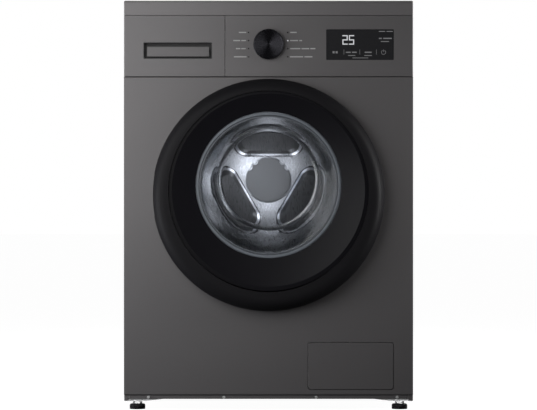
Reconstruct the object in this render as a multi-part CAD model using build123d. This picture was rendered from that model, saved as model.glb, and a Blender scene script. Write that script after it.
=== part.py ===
from build123d import *
import math
import os

# Front load washing machine, millimetres. +X is right seen from the front, +Z is up, the front faces -Y.
# Depths are measured behind the outer face of the front panel; a negative depth stands in front of it.

# Cabinet
WIDTH = 600.0
HEIGHT = 850.0
CABINET_DEPTH = 475.0
DOOR_PROUD = 48.0
REAR_PROUD = 10.0
FRONT = DOOR_PROUD - (CABINET_DEPTH + DOOR_PROUD + REAR_PROUD) / 2
HALF = WIDTH / 2
SHEET = 1.0
SEAM = 0.5
SIDE_BOTTOM = 19.4
SIDE_FRONT = 2.6
SIDE_STRIP = 290.5
REAR_FLANGE = 18.0
CONSOLE_BOTTOM = 692.3
CONSOLE_TOP = 819.2
CONSOLE_DEPTH = 26.0
TOP_WALL = 2.5

# Top rails and main board case
RAIL_INNER = 272.0
RAIL_Z = (795.0, 818.0)
RAIL_WALL = 1.5
CASE_X = (118.0, 266.0)
CASE_DEPTH = (46.0, 190.0)
CASE_Z = (742.0, 812.0)
CASE_WALL = 3.0

# Front panel
FOLD_Z = 31.5
LIP_BOTTOM = 23.2
LIP_DEPTH = 3.0
LIP_HALF = 289.5
OPENING_Z = 472.0
OPENING_RADIUS = 167.0
COLLAR_END = 9.0

# Base pan
PAN_HALF = HALF - SHEET
PAN_DEPTH = (6.0, CABINET_DEPTH - 4)
PAN_BOTTOM = 23.6
PAN_TOP = 60.0
PAN_WALL = 1.5
PLATE_BOTTOM = 18.0
PLATE_INNER = 205.0
PLATE_HALF = 30.0

# Front lip screws, from left to right
LIP_SCREW_X = (-249.5, -92.5, 99.0, 267.0)
LIP_SCREW_Z = 26.7
SCREW_HEAD = 3.0
REAR_SCREW_HEAD = 4.2
SCREW_LENGTH = 9.0
SCREW_HEAD_HEIGHT = 2.0
SCREW_SHANK = 1.8
SCREW_HOLE = 1.9

# Control panel
CONSOLE_LEFT = -90.4
CONSOLE_WALL = 2.5
DIAL_Z = 758.8
DIAL_RADIUS = 31.4
DIAL_PROUD = 15.0
LAMP_X = (-41.3, 40.0)
LAMP_Z = (783.9, 767.0, 750.2, 733.3)
LAMP_RADIUS = 1.5
DISPLAY_X = (119.9, 259.9)
DISPLAY_Z = (726.9, 790.3)

# Dispenser drawer
CUP_X = (-259.7, -117.0)
CUP_Z = (728.9, 763.5)
GRIP_X = (-252.2, -123.4)
GRIP_Z = (734.3, 754.3)
CUP_DEPTH = 21.0
TRAY_X = (-259.5, -112.5)
TRAY_Z = (723.0, 800.0)
TRAY_DEPTH = (21.0, 252.0)
TRAY_WALL = 2.2
HOUSING_X = (-264.0, -108.0)
HOUSING_Z = (719.0, 814.0)
HOUSING_DEPTH = (27.0, 260.0)
HOUSING_WALL = 2.5

# Door: the circles of the door are not concentric, each has its own height
RING_Z = 446.4
RING_RADIUS = 240.0
GROOVE_Z = 454.8
GROOVE_RADIUS = 206.3
GLASS_Z = 466.8
GLASS_RADIUS = 151.2
DOOR_WALL = 3.0
GLASS_FRONT = -24.0
GLASS_WALL = 5.0
# Outer sections of the glass bowl: depth, radius, height of the centre
BOWL_SECTIONS = ((-19.0, 149.5, 466.8), (2.0, 145.5, 468.0), (50.0, 128.0, 473.0), (98.0, 108.0, 481.0))
BOWL_CORNER = 14.0
GLASS_FLANGE = (158.0, 6.0)
BEVEL = (149.5, 140.5, 5.0)
BACK_RADIUS = 228.6
BACK_DEPTH = (-8.0, -5.0)
CLAMP_RADIUS = 164.0
CLAMP_BORE = 152.0
HINGE_X = -222.0
HINGE_DEPTH = -26.0
HINGE_PIN = 4.0
HINGE_HUB = 7.0
LEAF_HALF = 25.0
KNUCKLE_LOW = 26.0
KNUCKLE_HIGH = 36.0
SWEEP_HALF = 44.0
HOOK_X = 186.0
HOOK_Z = 467.0
HOOK_DEPTH = -14.0
GRIP_HALF = 50.0
LOCK_X = (175.0, 228.0)
LOCK_BACK = 40.0
LOCK_HALF = 38.0
# Wire ring of the gasket: radius of the ring, radius of the wire
GASKET_WIRE = (172.7, 1.3)

# Drain hatch and pump
HATCH_X = (82.3, 258.9)
HATCH_Z = (43.2, 140.3)
HATCH_CORNER = 6.0
HATCH_GAP = 1.0
HATCH_PIVOT = 0.9
HATCH_AXIS = (2.0, 49.6)
PUMP_X = 165.0
PUMP_Z = 79.0
PUMP_OUTLET = 124.0
PUMP_BODY = 36.0
PUMP_MOTOR = 30.0
PUMP_CHAMBER = 29.0
FILTER_CAP = 33.0
FILTER_PLUG = 28.4
FILTER_BASKET = 24.0

# Hung tub and drum
DRUM_Z = 481.0
TUB_RADIUS = 252.0
TUB_WALL = 4.0
TUB_FRONT = 62.0
TUB_SPLIT = 270.0
TUB_BACK = 376.0
THROAT_RADIUS = 160.0
DRUM_RADIUS = 236.0
DRUM_FRONT = 76.0
DRUM_BACK = 350.0
DRUM_MOUTH = 168.0
STEEL = 1.0
LIFTER_ANGLES = (30.0, 150.0, 270.0)
PETAL_ANGLES = (90.0, 210.0, 330.0)
# Petal outlines of the drum back: distance of the chord, radius of the arc, corner radius
PETAL_MOUTH = (52.0, 126.0, 30.0)
PETAL_FLOOR = (66.0, 108.0, 16.0)
PETAL_DEEP = 7.0
PRESSING = 1.5
DISC_RADIUS = 50.6
DISC_PROUD = 4.0
SCALLOP_ANGLES = (34.0, 54.0, 126.0, 146.0)
SCALLOP_RADIUS = 6.0
SPIDER_DEPTH = (360.0, 371.0)
SPIDER_HUB = 44.0
SPIDER_REACH = 228.0
SPIDER_PAD = 205.0
SHAFT_RADIUS = 15.0
SHAFT_CLEARANCE = 0.05
SHAFT_TAIL = 12.5
WEIGHT_INNER = 190.0
WEIGHT_DEPTH = (30.0, 58.0)
# Counterweights: middle angle, outer radius
WEIGHTS = ((90.0, 246.0), (270.0, 230.0))
WEIGHT_ANGLE = 58.0
WEIGHT_FEET = 211.0
HEATER_X = 30.0
HEATER_ROD = 3.2
STATOR_TEETH = 36
STATOR_CORE = (60.0, 80.0)
STATOR_DEPTH = (391.0, 418.0)
ROTOR_RADIUS = 128.0
ROTOR_WALL = 7.0
ROTOR_WEB = (427.0, 431.0)
RIBS = 12
TUB_FLANGE = 8.0

# Suspension
SPRING_DEPTH = 320.0
SPRING_TOP = (282.0, 800.0)
SPRING_LUG = (228.0, 630.0)
SPRING_COIL = 11.0
SPRING_WIRE = 1.8
SPRING_TURNS = 14
DAMPER_DEPTH = 230.0
DAMPER_FOOT = (175.0, 48.0)
DAMPER_EYE = (137.0, 246.0)
SLEEVE_RADIUS = 15.0
SLEEVE_BORE = 12.0
DAMPER_ROD = 6.0
PISTON_RADIUS = 9.5
FILL_HOSE = (-215.0, 130.0)
SUMP_HOSE = (150.0, 88.0)
FILL_PORT = (14.0, 11.5)
SUMP_PORT = (17.0, 14.0)
HOSE_RUBBER = 2.4
HOSE_FIT = 0.1

# Feet
FOOT_X = 274.0
FOOT_DEPTHS = (40.0, 435.0)
FOOT_PAD = 16.3
FOOT_HEIGHT = 10.5
FOOT_STEM = 5.0

# Rear fittings
INLET = (-190.0, 780.0)
DRAIN = (250.0, 95.0)
CORD = (-235.0, 110.0)
INLET_HOLE = 13.6
DRAIN_HOLE = 11.3
CORD_HOLE = 9.2
TRANSIT_HOLE = 12.2
COVER_RADIUS = 165.0
COVER_SHEET = 1.2
COVER_RAISE = 5.0
TRANSIT = ((-205.0, 600.0), (205.0, 600.0), (-205.0, 340.0), (205.0, 340.0))
BEAD_X = (-252.0, 252.0)
BEAD_Z = 440.0
BEAD_WIDTH = 14.0
BEAD_LENGTH = 560.0
BEAD_PROUD = 2.0
VENT_X = 150.0
VENT_Z = 716.0
VENT_ROWS = 7
VENT_PITCH = 9.0
VENT_LENGTH = 70.0
VENT_HEIGHT = 4.0
REAR_SCREWS = tuple((x, z) for x in (-288.0, 288.0) for z in (70.0, 290.0, 530.0, 780.0))


def block(x0, x1, d0, d1, z0, z1):
    """A box between two corners."""
    centre = Pos((x0 + x1) / 2, FRONT + (d0 + d1) / 2, (z0 + z1) / 2)
    return centre * Box(x1 - x0, d1 - d0, z1 - z0)


def rod(radius, d0, d1, x, z):
    """A cylinder that lies front to back."""
    return Pos(x, FRONT + (d0 + d1) / 2, z) * Rot(90, 0, 0) * Cylinder(radius, d1 - d0)


def post(radius, z0, z1, x, depth):
    """An upright cylinder."""
    return Pos(x, FRONT + depth, (z0 + z1) / 2) * Cylinder(radius, z1 - z0)


def bar(radius, x0, x1, depth, z):
    """A cylinder that lies left to right."""
    return Pos((x0 + x1) / 2, FRONT + depth, z) * Rot(0, 90, 0) * Cylinder(radius, x1 - x0)


def slab(width, height, corner, d0, d1, x, z):
    """A rounded rectangle with its thickness front to back."""
    return Pos(x, FRONT + d1, z) * extrude(Plane.XZ * RectangleRounded(width, height, corner), d1 - d0)


def window(xs, zs, corner, d0, d1, grow=0.0):
    """A slab given by its side and height limits, made larger all round by grow."""
    width = xs[1] - xs[0] + 2 * grow
    height = zs[1] - zs[0] + 2 * grow
    return slab(width, height, corner, d0, d1, sum(xs) / 2, sum(zs) / 2)


def turned(points, z):
    """A solid turned about a front to back axis from an outline of radius and depth points."""
    return Pos(0, FRONT, z) * revolve(make_face(Polyline(*points, close=True)), Axis.Y)


def turned_sheet(points, bends, thickness, z):
    """A turned shell that follows a path of radius and depth points."""
    path = FilletPolyline(*points, radius=bends)
    return Pos(0, FRONT, z) * revolve(trace(path, thickness), Axis.Y)


def circle_at(depth, radius, z):
    """A disc that faces front to back, used as a section of a loft."""
    return Plane((0, FRONT + depth, z), z_dir=(0, 1, 0)) * Circle(radius)


def tube(outer, inner, z0, z1, x, depth):
    """An upright tube."""
    return post(outer, z0, z1, x, depth) - post(inner, z0, z1, x, depth)


def slanted(radius, start, end, depth):
    """A cylinder between two side and height points at one depth."""
    low = Vector(start[0], FRONT + depth, start[1])
    high = Vector(end[0], FRONT + depth, end[1])
    run = high - low
    return Plane(low, z_dir=run) * Cylinder(radius, run.length, align=(Align.CENTER, Align.CENTER, Align.MIN))


def group(solids):
    """Several separate solids that stay separate."""
    return Compound(children=[piece for solid in solids for piece in solid.solids()])


def along(start, end, distance):
    """The point that lies a distance from start on the way to end."""
    length = math.dist(start, end)
    share = distance / length
    return (start[0] + (end[0] - start[0]) * share, start[1] + (end[1] - start[1]) * share)


def rear_screw_holes():
    """Holes of the screws that hold the rear panel to the side panels."""
    return [rod(SCREW_HOLE, CABINET_DEPTH - 6, CABINET_DEPTH + 2, x, z) for x, z in REAR_SCREWS]


def right_side_panel():
    """A bent sheet with a front strip, a rear flange and a step for the control panel."""
    middle = HALF - SHEET / 2
    rear = CABINET_DEPTH - 1.5 * SHEET
    front = SIDE_FRONT + SHEET / 2
    points = ((SIDE_STRIP, front), (middle, front), (middle, rear), (HALF - REAR_FLANGE, rear))
    section = trace(FilletPolyline(*points, radius=2.0), SHEET)
    panel = Pos(0, FRONT, SIDE_BOTTOM) * extrude(section, CONSOLE_TOP - SEAM - SIDE_BOTTOM)
    panel -= block(0, HALF + 1, -1, CONSOLE_DEPTH, CONSOLE_BOTTOM - SEAM, HEIGHT)
    for hole in rear_screw_holes():
        panel -= hole
    return panel


def left_side_panel():
    """The mirrored side panel."""
    return mirror(right_side_panel(), about=Plane.YZ)


def hinge_sweep():
    """The room that the fixed hinge knuckles need inside the door while it opens."""
    sector = make_face(
        Polyline((0, 0), (42, 3.7), (42, 42), (-42, 42), (-42, -12), close=True)
    ) + Circle(11.5)
    height = 2 * SWEEP_HALF
    return Pos(HINGE_X, FRONT + HINGE_DEPTH, RING_Z - SWEEP_HALF) * extrude(sector, height)


def knuckle_slots():
    """The slots of the front panel that the two hinge knuckles reach through."""
    slots = []
    for side in (-1, 1):
        low, high = sorted((side * (KNUCKLE_LOW - 1), side * (KNUCKLE_HIGH + 1)))
        slots.append(block(-205, -187, -1, 2, RING_Z + low, RING_Z + high))
    return slots


def front_panel():
    """A folded sheet with the door opening, hatch opening, hinge slots and lock slot."""
    points = ((14, CONSOLE_BOTTOM - SEAM - 0.5), (0.5, CONSOLE_BOTTOM - SEAM - 0.5), (0.5, FOLD_Z + 2))
    points += ((LIP_DEPTH, FOLD_Z - 1.5), (LIP_DEPTH, LIP_BOTTOM))
    section = trace(FilletPolyline(*points, radius=(2.0, 1.0, 1.0)), SHEET)
    panel = Pos(-HALF, FRONT, 0) * extrude(Plane.YZ * section, WIDTH)
    for side in (-1, 1):
        low, high = sorted((side * LIP_HALF, side * (HALF + 1)))
        panel -= block(low, high, -1, 20, 0, FOLD_Z + 0.5)
        low, high = sorted((side * (SIDE_STRIP - 2), side * (HALF + 1)))
        panel -= block(low, high, 2.2, 20, 0, CONSOLE_BOTTOM)
        low, high = sorted((side * (HALF - SHEET), side * HALF))
        panel += block(low, high, 0, 2.2, FOLD_Z + 0.5, CONSOLE_BOTTOM - SEAM)
    panel += rod(OPENING_RADIUS + SHEET, 0, COLLAR_END, 0, OPENING_Z)
    panel -= rod(OPENING_RADIUS, -1, COLLAR_END + 1, 0, OPENING_Z)
    panel -= window(HATCH_X, HATCH_Z, HATCH_CORNER, -1, 3, HATCH_GAP)
    panel -= block(178, 200, -1, 3, HOOK_Z - 15, HOOK_Z + 15)
    for slot in knuckle_slots():
        panel -= slot
    for x in LIP_SCREW_X:
        panel -= rod(SCREW_HOLE, 0, 6, x, LIP_SCREW_Z)
    return panel


def top_cover():
    """A deep moulded lid with soft top edges and a fine groove below them."""
    low = CONSOLE_TOP + SEAM
    cover = block(-HALF, HALF, 0, CABINET_DEPTH, low, HEIGHT)
    cover = fillet(cover.edges().group_by(Axis.Z)[-1], 3.0)
    cover = fillet(cover.edges().filter_by(Axis.Z), 2.0)
    cover -= block(-HALF + TOP_WALL, HALF - TOP_WALL, TOP_WALL, CABINET_DEPTH - TOP_WALL, low - 1, HEIGHT - 3)
    groove = block(-HALF - 1, HALF + 1, -1, CABINET_DEPTH + 1, HEIGHT - 5.2, HEIGHT - 4.4)
    groove -= block(-HALF + 0.7, HALF - 0.7, 0.7, CABINET_DEPTH - 0.7, HEIGHT - 6, HEIGHT - 4)
    return cover - groove


def bead(x, inset, start):
    """A long stiffening bead pressed out of the rear panel, or its hollow when inset."""
    width, length = BEAD_WIDTH - 3 * inset, BEAD_LENGTH - 3 * inset
    return slab(width, length, width / 2 - 0.1, start, CABINET_DEPTH + BEAD_PROUD - inset, x, BEAD_Z)


def rear_panel():
    """The rear sheet with its service opening and the holes of the rear fittings."""
    low, high = SIDE_BOTTOM + 4, CONSOLE_TOP - SEAM
    panel = block(-HALF + 2, HALF - 2, CABINET_DEPTH - SHEET, CABINET_DEPTH, low, high)
    holes = [rod(COVER_RADIUS - 15, CABINET_DEPTH - 2, CABINET_DEPTH + 1, 0, DRUM_Z)]
    holes += [rod(INLET_HOLE, CABINET_DEPTH - 2, CABINET_DEPTH + 1, *INLET)]
    holes += [rod(DRAIN_HOLE, CABINET_DEPTH - 2, CABINET_DEPTH + 1, *DRAIN)]
    holes += [rod(CORD_HOLE, CABINET_DEPTH - 2, CABINET_DEPTH + 1, *CORD)]
    holes += [rod(TRANSIT_HOLE, CABINET_DEPTH - 2, CABINET_DEPTH + 1, x, z) for x, z in TRANSIT]
    holes += rear_screw_holes()
    holes += [rod(SCREW_HOLE, CABINET_DEPTH - 2, CABINET_DEPTH + 1, x, z) for x, z in cover_screws()]
    for x in BEAD_X:
        panel += bead(x, 0.0, CABINET_DEPTH - SHEET)
        holes.append(bead(x, SHEET, CABINET_DEPTH - 2 * SHEET))
    for row in range(VENT_ROWS):
        z = VENT_Z + VENT_PITCH * row
        holes.append(slab(VENT_LENGTH, VENT_HEIGHT, 1.9, CABINET_DEPTH - 2, CABINET_DEPTH + 1, VENT_X, z))
    for hole in holes:
        panel -= hole
    return panel


def cover_screws():
    """Side and height of the six screws of the rear service cover."""
    angles = [math.radians(60 * step) for step in range(6)]
    reach = COVER_RADIUS - 7
    return [(reach * math.cos(a), DRUM_Z + reach * math.sin(a)) for a in angles]


def rear_service_cover():
    """A round cover, raised in the middle, over the service opening."""
    back = CABINET_DEPTH
    inner = back + COVER_RAISE
    outer = inner + COVER_SHEET
    points = ((0, inner), (140, inner), (146, back), (COVER_RADIUS, back))
    points += ((COVER_RADIUS, back + COVER_SHEET), (147, back + COVER_SHEET), (141, outer), (0, outer))
    cover = turned(points, DRUM_Z)
    for x, z in cover_screws():
        cover -= rod(SCREW_HOLE, back - 2, back + 4, x, z)
    return cover


def foot_plate(side, depth):
    """The low plate of the base pan at one foot, thinner towards the middle of the machine."""
    top = PAN_BOTTOM + PAN_WALL / 2
    outer, step = PAN_HALF - 1, FOOT_X - FOOT_PAD
    points = ((outer, top), (outer, PLATE_BOTTOM), (step, PLATE_BOTTOM), (PLATE_INNER, top))
    section = Plane.XZ * make_face(Polyline(*[(side * x, z) for x, z in points], close=True))
    return Pos(0, FRONT + depth + PLATE_HALF, 0) * extrude(section, 2 * PLATE_HALF)


def base_pan():
    """A shallow galvanised pan with a low tapered plate and a boss at each foot, and two damper brackets."""
    half, wall = PAN_HALF, PAN_WALL
    d0, d1 = PAN_DEPTH
    pan = block(-half, half, d0, d1, PAN_BOTTOM, PAN_TOP)
    pan = fillet(pan.edges().filter_by(Axis.Z), 6.0)
    pan -= block(-half + wall, half - wall, d0 + wall, d1 - wall, PAN_BOTTOM + wall, PAN_TOP + 1)
    lip_back = LIP_DEPTH + SHEET / 2
    pan += block(-LIP_HALF + 1, LIP_HALF - 1, lip_back, d0 + wall, PAN_BOTTOM, FOLD_Z - 1.5)
    for depth in FOOT_DEPTHS:
        for side in (-1, 1):
            pan += foot_plate(side, depth)
            pan += post(13.0, 17, 38, side * FOOT_X, depth)
            pan -= post(FOOT_STEM + 0.4, 10, 60, side * FOOT_X, depth)
    for side in (-1, 1):
        x = side * DAMPER_FOOT[0]
        for offset in (-20, 17):
            d0 = DAMPER_DEPTH + offset
            pan += block(x - 14, x + 14, d0, d0 + 3, PAN_BOTTOM, PAN_TOP + 2)
        pan -= rod(5.0, DAMPER_DEPTH - 22, DAMPER_DEPTH + 22, x, DAMPER_FOOT[1])
    for x in LIP_SCREW_X:
        pan -= rod(SCREW_HOLE, LIP_DEPTH, 12, x, LIP_SCREW_Z)
    return pan - block(HATCH_X[0] - 9, HATCH_X[1] + 9, 0, 30, HATCH_Z[0] - 9, PAN_TOP + 10)


def control_panel():
    """The hollow moulding right of the drawer, with dial hole, lamp holes and display opening."""
    x0, x1 = CONSOLE_LEFT + SEAM, HALF
    z0, z1 = CONSOLE_BOTTOM + SEAM, CONSOLE_TOP - SEAM
    wall = CONSOLE_WALL
    panel = block(x0, x1, 0, CONSOLE_DEPTH - SEAM, z0, z1)
    panel = fillet(panel.edges().filter_by(Axis.Z).group_by(Axis.X)[-1].sort_by(Axis.Y)[0], 2.0)
    panel -= block(x0 + wall, x1 - wall, wall, CONSOLE_DEPTH, z0 + wall, z1 - wall)
    panel += rod(9.0, wall, 16, 0, DIAL_Z)
    panel -= rod(5.4, -1, 20, 0, DIAL_Z)
    panel -= window(DISPLAY_X, DISPLAY_Z, 2.0, -1, 6, 0.2)
    for x in LAMP_X:
        for z in LAMP_Z:
            panel -= rod(LAMP_RADIUS, -1, 6, x, z)
    return panel


def display_window():
    """A dark window flush with the control panel, with a flange behind it."""
    pane = window(DISPLAY_X, DISPLAY_Z, 2.0, 0.2, CONSOLE_WALL)
    return pane + window(DISPLAY_X, DISPLAY_Z, 3.0, CONSOLE_WALL, CONSOLE_WALL + 2, 6.0)


def dial_knob():
    """A round knob with a shallow cone face, a rim and a stub shaft."""
    knob = DIAL_RADIUS
    points = ((0, -DIAL_PROUD + 1.6), (knob - 3.2, -DIAL_PROUD + 0.4), (knob - 2.4, -DIAL_PROUD))
    points += ((knob - 0.8, -DIAL_PROUD), (knob, -DIAL_PROUD + 1.2), (knob, -1), (knob - 2, -1))
    points += ((knob - 2, -DIAL_PROUD + 4), (5, -DIAL_PROUD + 4), (5, 13), (0, 13))
    return turned(points, DIAL_Z)


def drawer_front():
    """The hollow front of the dispenser drawer with the opening of the handle cup."""
    x0, x1 = -HALF, CONSOLE_LEFT - SEAM
    z0, z1 = CONSOLE_BOTTOM + SEAM, CONSOLE_TOP - SEAM
    wall = CONSOLE_WALL
    front = block(x0, x1, 0, CONSOLE_DEPTH - 1, z0, z1)
    front = fillet(front.edges().filter_by(Axis.Z).group_by(Axis.X)[0].sort_by(Axis.Y)[0], 2.0)
    front -= block(x0 + wall, x1 - wall, wall, CONSOLE_DEPTH, z0 + wall, z1 - wall)
    return front - window(CUP_X, CUP_Z, 2.0, -1, 5)


def drawer_cup():
    """The black finger cup behind the opening of the drawer front."""
    cup = window(CUP_X, CUP_Z, 1.9, 0.5, CUP_DEPTH, -0.1)
    cup += window(CUP_X, CUP_Z, 3.0, CONSOLE_WALL, CONSOLE_WALL + 1.5, 3.0)
    return cup - window(CUP_X, CUP_Z, 1.5, 0, CUP_DEPTH - 2, -1.6)


def drawer_grip():
    """The grey pull plate in the cup, carried by a rib along its lower edge."""
    plate = window(GRIP_X, GRIP_Z, 1.5, 3.5, 6.0)
    rib = block(GRIP_X[0] + 6, GRIP_X[1] - 6, 6.0, CUP_DEPTH - 2, GRIP_Z[0] + 1, GRIP_Z[0] + 3.5)
    return plate + rib


def drawer_tray():
    """The open detergent tray with a long main chamber and two side chambers."""
    x0, x1 = TRAY_X
    d0, d1 = TRAY_DEPTH
    z0, z1 = TRAY_Z
    wall = TRAY_WALL
    split = x0 + 92
    tray = block(x0, x1, d0, d1, z0, z1)
    tray = fillet(tray.edges().filter_by(Axis.Z), 4.0)
    tray -= block(x0 + wall, split, d0 + wall, d1 - wall, z0 + wall, z1 + 1)
    tray -= block(split + wall, x1 - wall, d0 + wall, d0 + 120, z0 + 22, z1 + 1)
    return tray - block(split + wall, x1 - wall, d0 + 120 + wall, d1 - wall, z0 + 14, z1 + 1)


def dispenser_housing():
    """The box that the drawer slides in, with an inlet port behind and an outlet spout below."""
    x0, x1 = HOUSING_X
    d0, d1 = HOUSING_DEPTH
    z0, z1 = HOUSING_Z
    wall = HOUSING_WALL
    box = block(x0, x1, d0, d1, z0, z1)
    box -= block(x0 + wall, x1 - wall, d0 - 1, d1 - wall, z0 + wall, z1 - wall)
    box += post(FILL_PORT[0], z0 - 20, z0, *FILL_HOSE)
    box -= post(FILL_PORT[1], z0 - 21, z0 + wall + 1, *FILL_HOSE)
    box += rod(8.0, d1, d1 + 18, INLET[0], INLET[1] + 12)
    return box - rod(5.5, d1 - wall - 1, d1 + 19, INLET[0], INLET[1] + 12)


def inlet_valve():
    """The water inlet valve: spigot, body, coil and hose port."""
    x, z = INLET
    back = CABINET_DEPTH
    valve = rod(13.2, back - 10, back + REAR_PROUD, x, z)
    valve += rod(18.0, back - 14, back - SHEET, x, z) + rod(13.5, back - SHEET, back, x, z)
    valve += block(x - 15, x + 15, back - 48, back - 14, z - 14, z + 20)
    valve += block(x - 13, x + 13, back - 46, back - 18, z - 34, z - 14)
    valve += rod(8.0, back - 66, back - 48, x, z + 12)
    valve -= rod(9.0, back - 8, back + REAR_PROUD + 1, x, z)
    return valve - rod(5.5, back - 67, back - 44, x, z + 12)


def inlet_hose():
    """The straight rubber hose from the valve to the dispenser housing."""
    x, z = INLET[0], INLET[1] + 12
    start, end = HOUSING_DEPTH[1] + 4, CABINET_DEPTH - 52
    return rod(10.5, start, end, x, z) - rod(8.1, start - 1, end + 1, x, z)


def top_rails():
    """Two channel rails along the tops of the side panels, with the spring holes."""
    rails = []
    for side in (-1, 1):
        low, high = sorted((side * RAIL_INNER, side * (HALF - SHEET)))
        rail = block(low, high, 30, CABINET_DEPTH - 6, *RAIL_Z)
        floor = RAIL_Z[0] + RAIL_WALL
        rail -= block(low + RAIL_WALL, high - RAIL_WALL, 29, CABINET_DEPTH - 2, floor, RAIL_Z[1] + 1)
        x = side * SPRING_TOP[0]
        rail -= block(x - 9, x + 9, SPRING_DEPTH - 16, SPRING_DEPTH + 16, RAIL_Z[0] - 5, RAIL_Z[0] + 5)
        rails.append(rail)
    return group(rails)


def main_board_case():
    """The closed case of the main board, behind the display."""
    x0, x1 = CASE_X[0] + CASE_WALL, CASE_X[1] - CASE_WALL
    d0, d1 = CASE_DEPTH[0] + CASE_WALL, CASE_DEPTH[1] - CASE_WALL
    low, high = CASE_Z
    case = block(*CASE_X, *CASE_DEPTH, *CASE_Z)
    case = fillet(case.edges().filter_by(Axis.Z), 5.0)
    case -= block(x0, x1, d0, d1, low + CASE_WALL, high + 1)
    return case + block(x0, x1, d0, d1, high - 6, high - 2)


def hinge_bracket():
    """A plate behind the front panel with two cranked knuckles that carry the hinge pin."""
    bracket = block(-214, -176, SHEET, SHEET + 3, RING_Z - 46, RING_Z + 46)
    arm = make_face(Polyline((-3.5, 3.5), (3.5, -3.5), (31.0, 24.0), (31.0, 28.0), (21.0, 28.0), close=True))
    arm += Circle(HINGE_HUB)
    for side in (-1, 1):
        low = min(side * KNUCKLE_LOW, side * KNUCKLE_HIGH)
        place = Pos(HINGE_X, FRONT + HINGE_DEPTH, RING_Z + low)
        bracket += place * extrude(arm, KNUCKLE_HIGH - KNUCKLE_LOW)
    return bracket - post(HINGE_PIN, RING_Z - 40, RING_Z + 40, HINGE_X, HINGE_DEPTH)


def hinge_pin():
    """The steel pin of the door hinge with a low head."""
    pin = post(HINGE_PIN - 0.02, RING_Z - KNUCKLE_HIGH - 2, RING_Z + KNUCKLE_HIGH, HINGE_X, HINGE_DEPTH)
    top = RING_Z + KNUCKLE_HIGH
    return pin + post(HINGE_PIN + 1.5, top, top + 2.5, HINGE_X, HINGE_DEPTH)


def door_lock():
    """The lock behind the front panel, with the mouth that takes the hook."""
    lock = block(*LOCK_X, SHEET, LOCK_BACK, HOOK_Z - LOCK_HALF, HOOK_Z + LOCK_HALF)
    lock = fillet(lock.edges().filter_by(Axis.Y), 4.0)
    return lock - block(178, 202, 0, 30, HOOK_Z - 14, HOOK_Z + 14)


def ring_outline(inset):
    """The half section of the door ring; inset gives the inner face of its wall."""
    start = (200.0, -DOOR_PROUD + inset)
    rim = Spline(
        (212.0, -DOOR_PROUD + inset),
        (230.5 - inset * 0.5, -42.0 + inset * 0.8),
        (RING_RADIUS - inset, -25.0),
        (232.0 - inset, -4.0),
        tangents=[(1, 0), (-0.35, 1)],
    )
    lines = [Line(start, rim @ 0), rim, Polyline(rim @ 1, (200.0, -4.0), start)]
    return make_face(Curve() + lines)


def door_frame():
    """The moulded outer ring of the door: a hollow convex rim round an eccentric bore."""
    ring = Pos(0, FRONT, RING_Z) * revolve(ring_outline(0.0), Axis.Y)
    hollow = Pos(0, FRONT, RING_Z) * revolve(ring_outline(DOOR_WALL), Axis.Y)
    lip = rod(GROOVE_RADIUS + DOOR_WALL, -60, -36, 0, GROOVE_Z)
    ring = ring - (hollow - lip) - rod(GROOVE_RADIUS, -60, 0, 0, GROOVE_Z)
    ring -= hinge_sweep()
    return ring - block(190, 245, -22, 0, RING_Z - GRIP_HALF, RING_Z + GRIP_HALF)


def dish_body():
    """The hollow of the door front between the groove circle and the glass circle."""
    sections = [circle_at(-45.0, GROOVE_RADIUS - 0.4, GROOVE_Z)]
    sections += [circle_at(-34.5, 178.0, 461.0)]
    sections += [circle_at(-27.0, GLASS_RADIUS, GLASS_Z)]
    return loft(sections)


def door_dish():
    """The black dished ring between the outer ring and the glass."""
    hollow = dish_body()
    dish = Pos(0, DOOR_WALL, 0) * hollow - hollow
    dish -= rod(GLASS_RADIUS, -40, 0, 0, GLASS_Z)
    rim = rod(GROOVE_RADIUS - 0.4, -42, -37, 0, GROOVE_Z) - rod(GROOVE_RADIUS - 3.4, -43, -36, 0, GROOVE_Z)
    return dish + (rim - hollow)


def bowl_body(inset, front):
    """The filled form of the glass bowl, made smaller by inset and started at the depth front."""
    sections = [circle_at(front, BOWL_SECTIONS[0][1] - inset, BOWL_SECTIONS[0][2])]
    sections += [circle_at(depth, radius - inset, z) for depth, radius, z in BOWL_SECTIONS[1:-1]]
    depth, radius, z = BOWL_SECTIONS[-1]
    sections += [circle_at(depth - inset, radius - inset * 0.8, z)]
    body = loft(sections)
    return fillet(body.edges().group_by(Axis.Y)[-1], BOWL_CORNER - inset)


def door_glass():
    """The thick glass bowl with its clamped flange and a bevelled front edge."""
    flange, thickness = GLASS_FLANGE
    glass = rod(flange, GLASS_FRONT, GLASS_FRONT + thickness, 0, GLASS_Z)
    glass += bowl_body(0.0, GLASS_FRONT + 1)
    glass -= bowl_body(GLASS_WALL, GLASS_FRONT - 0.5)
    wide, narrow, length = BEVEL
    front = circle_at(GLASS_FRONT - 0.1, wide, GLASS_Z)
    return glass - loft([front, circle_at(GLASS_FRONT + length, narrow, GLASS_Z)])


def hook_slot():
    """The room of the hook in the back frame."""
    return block(176, 200, -10, 0, HOOK_Z - 8, HOOK_Z + 8)


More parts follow.
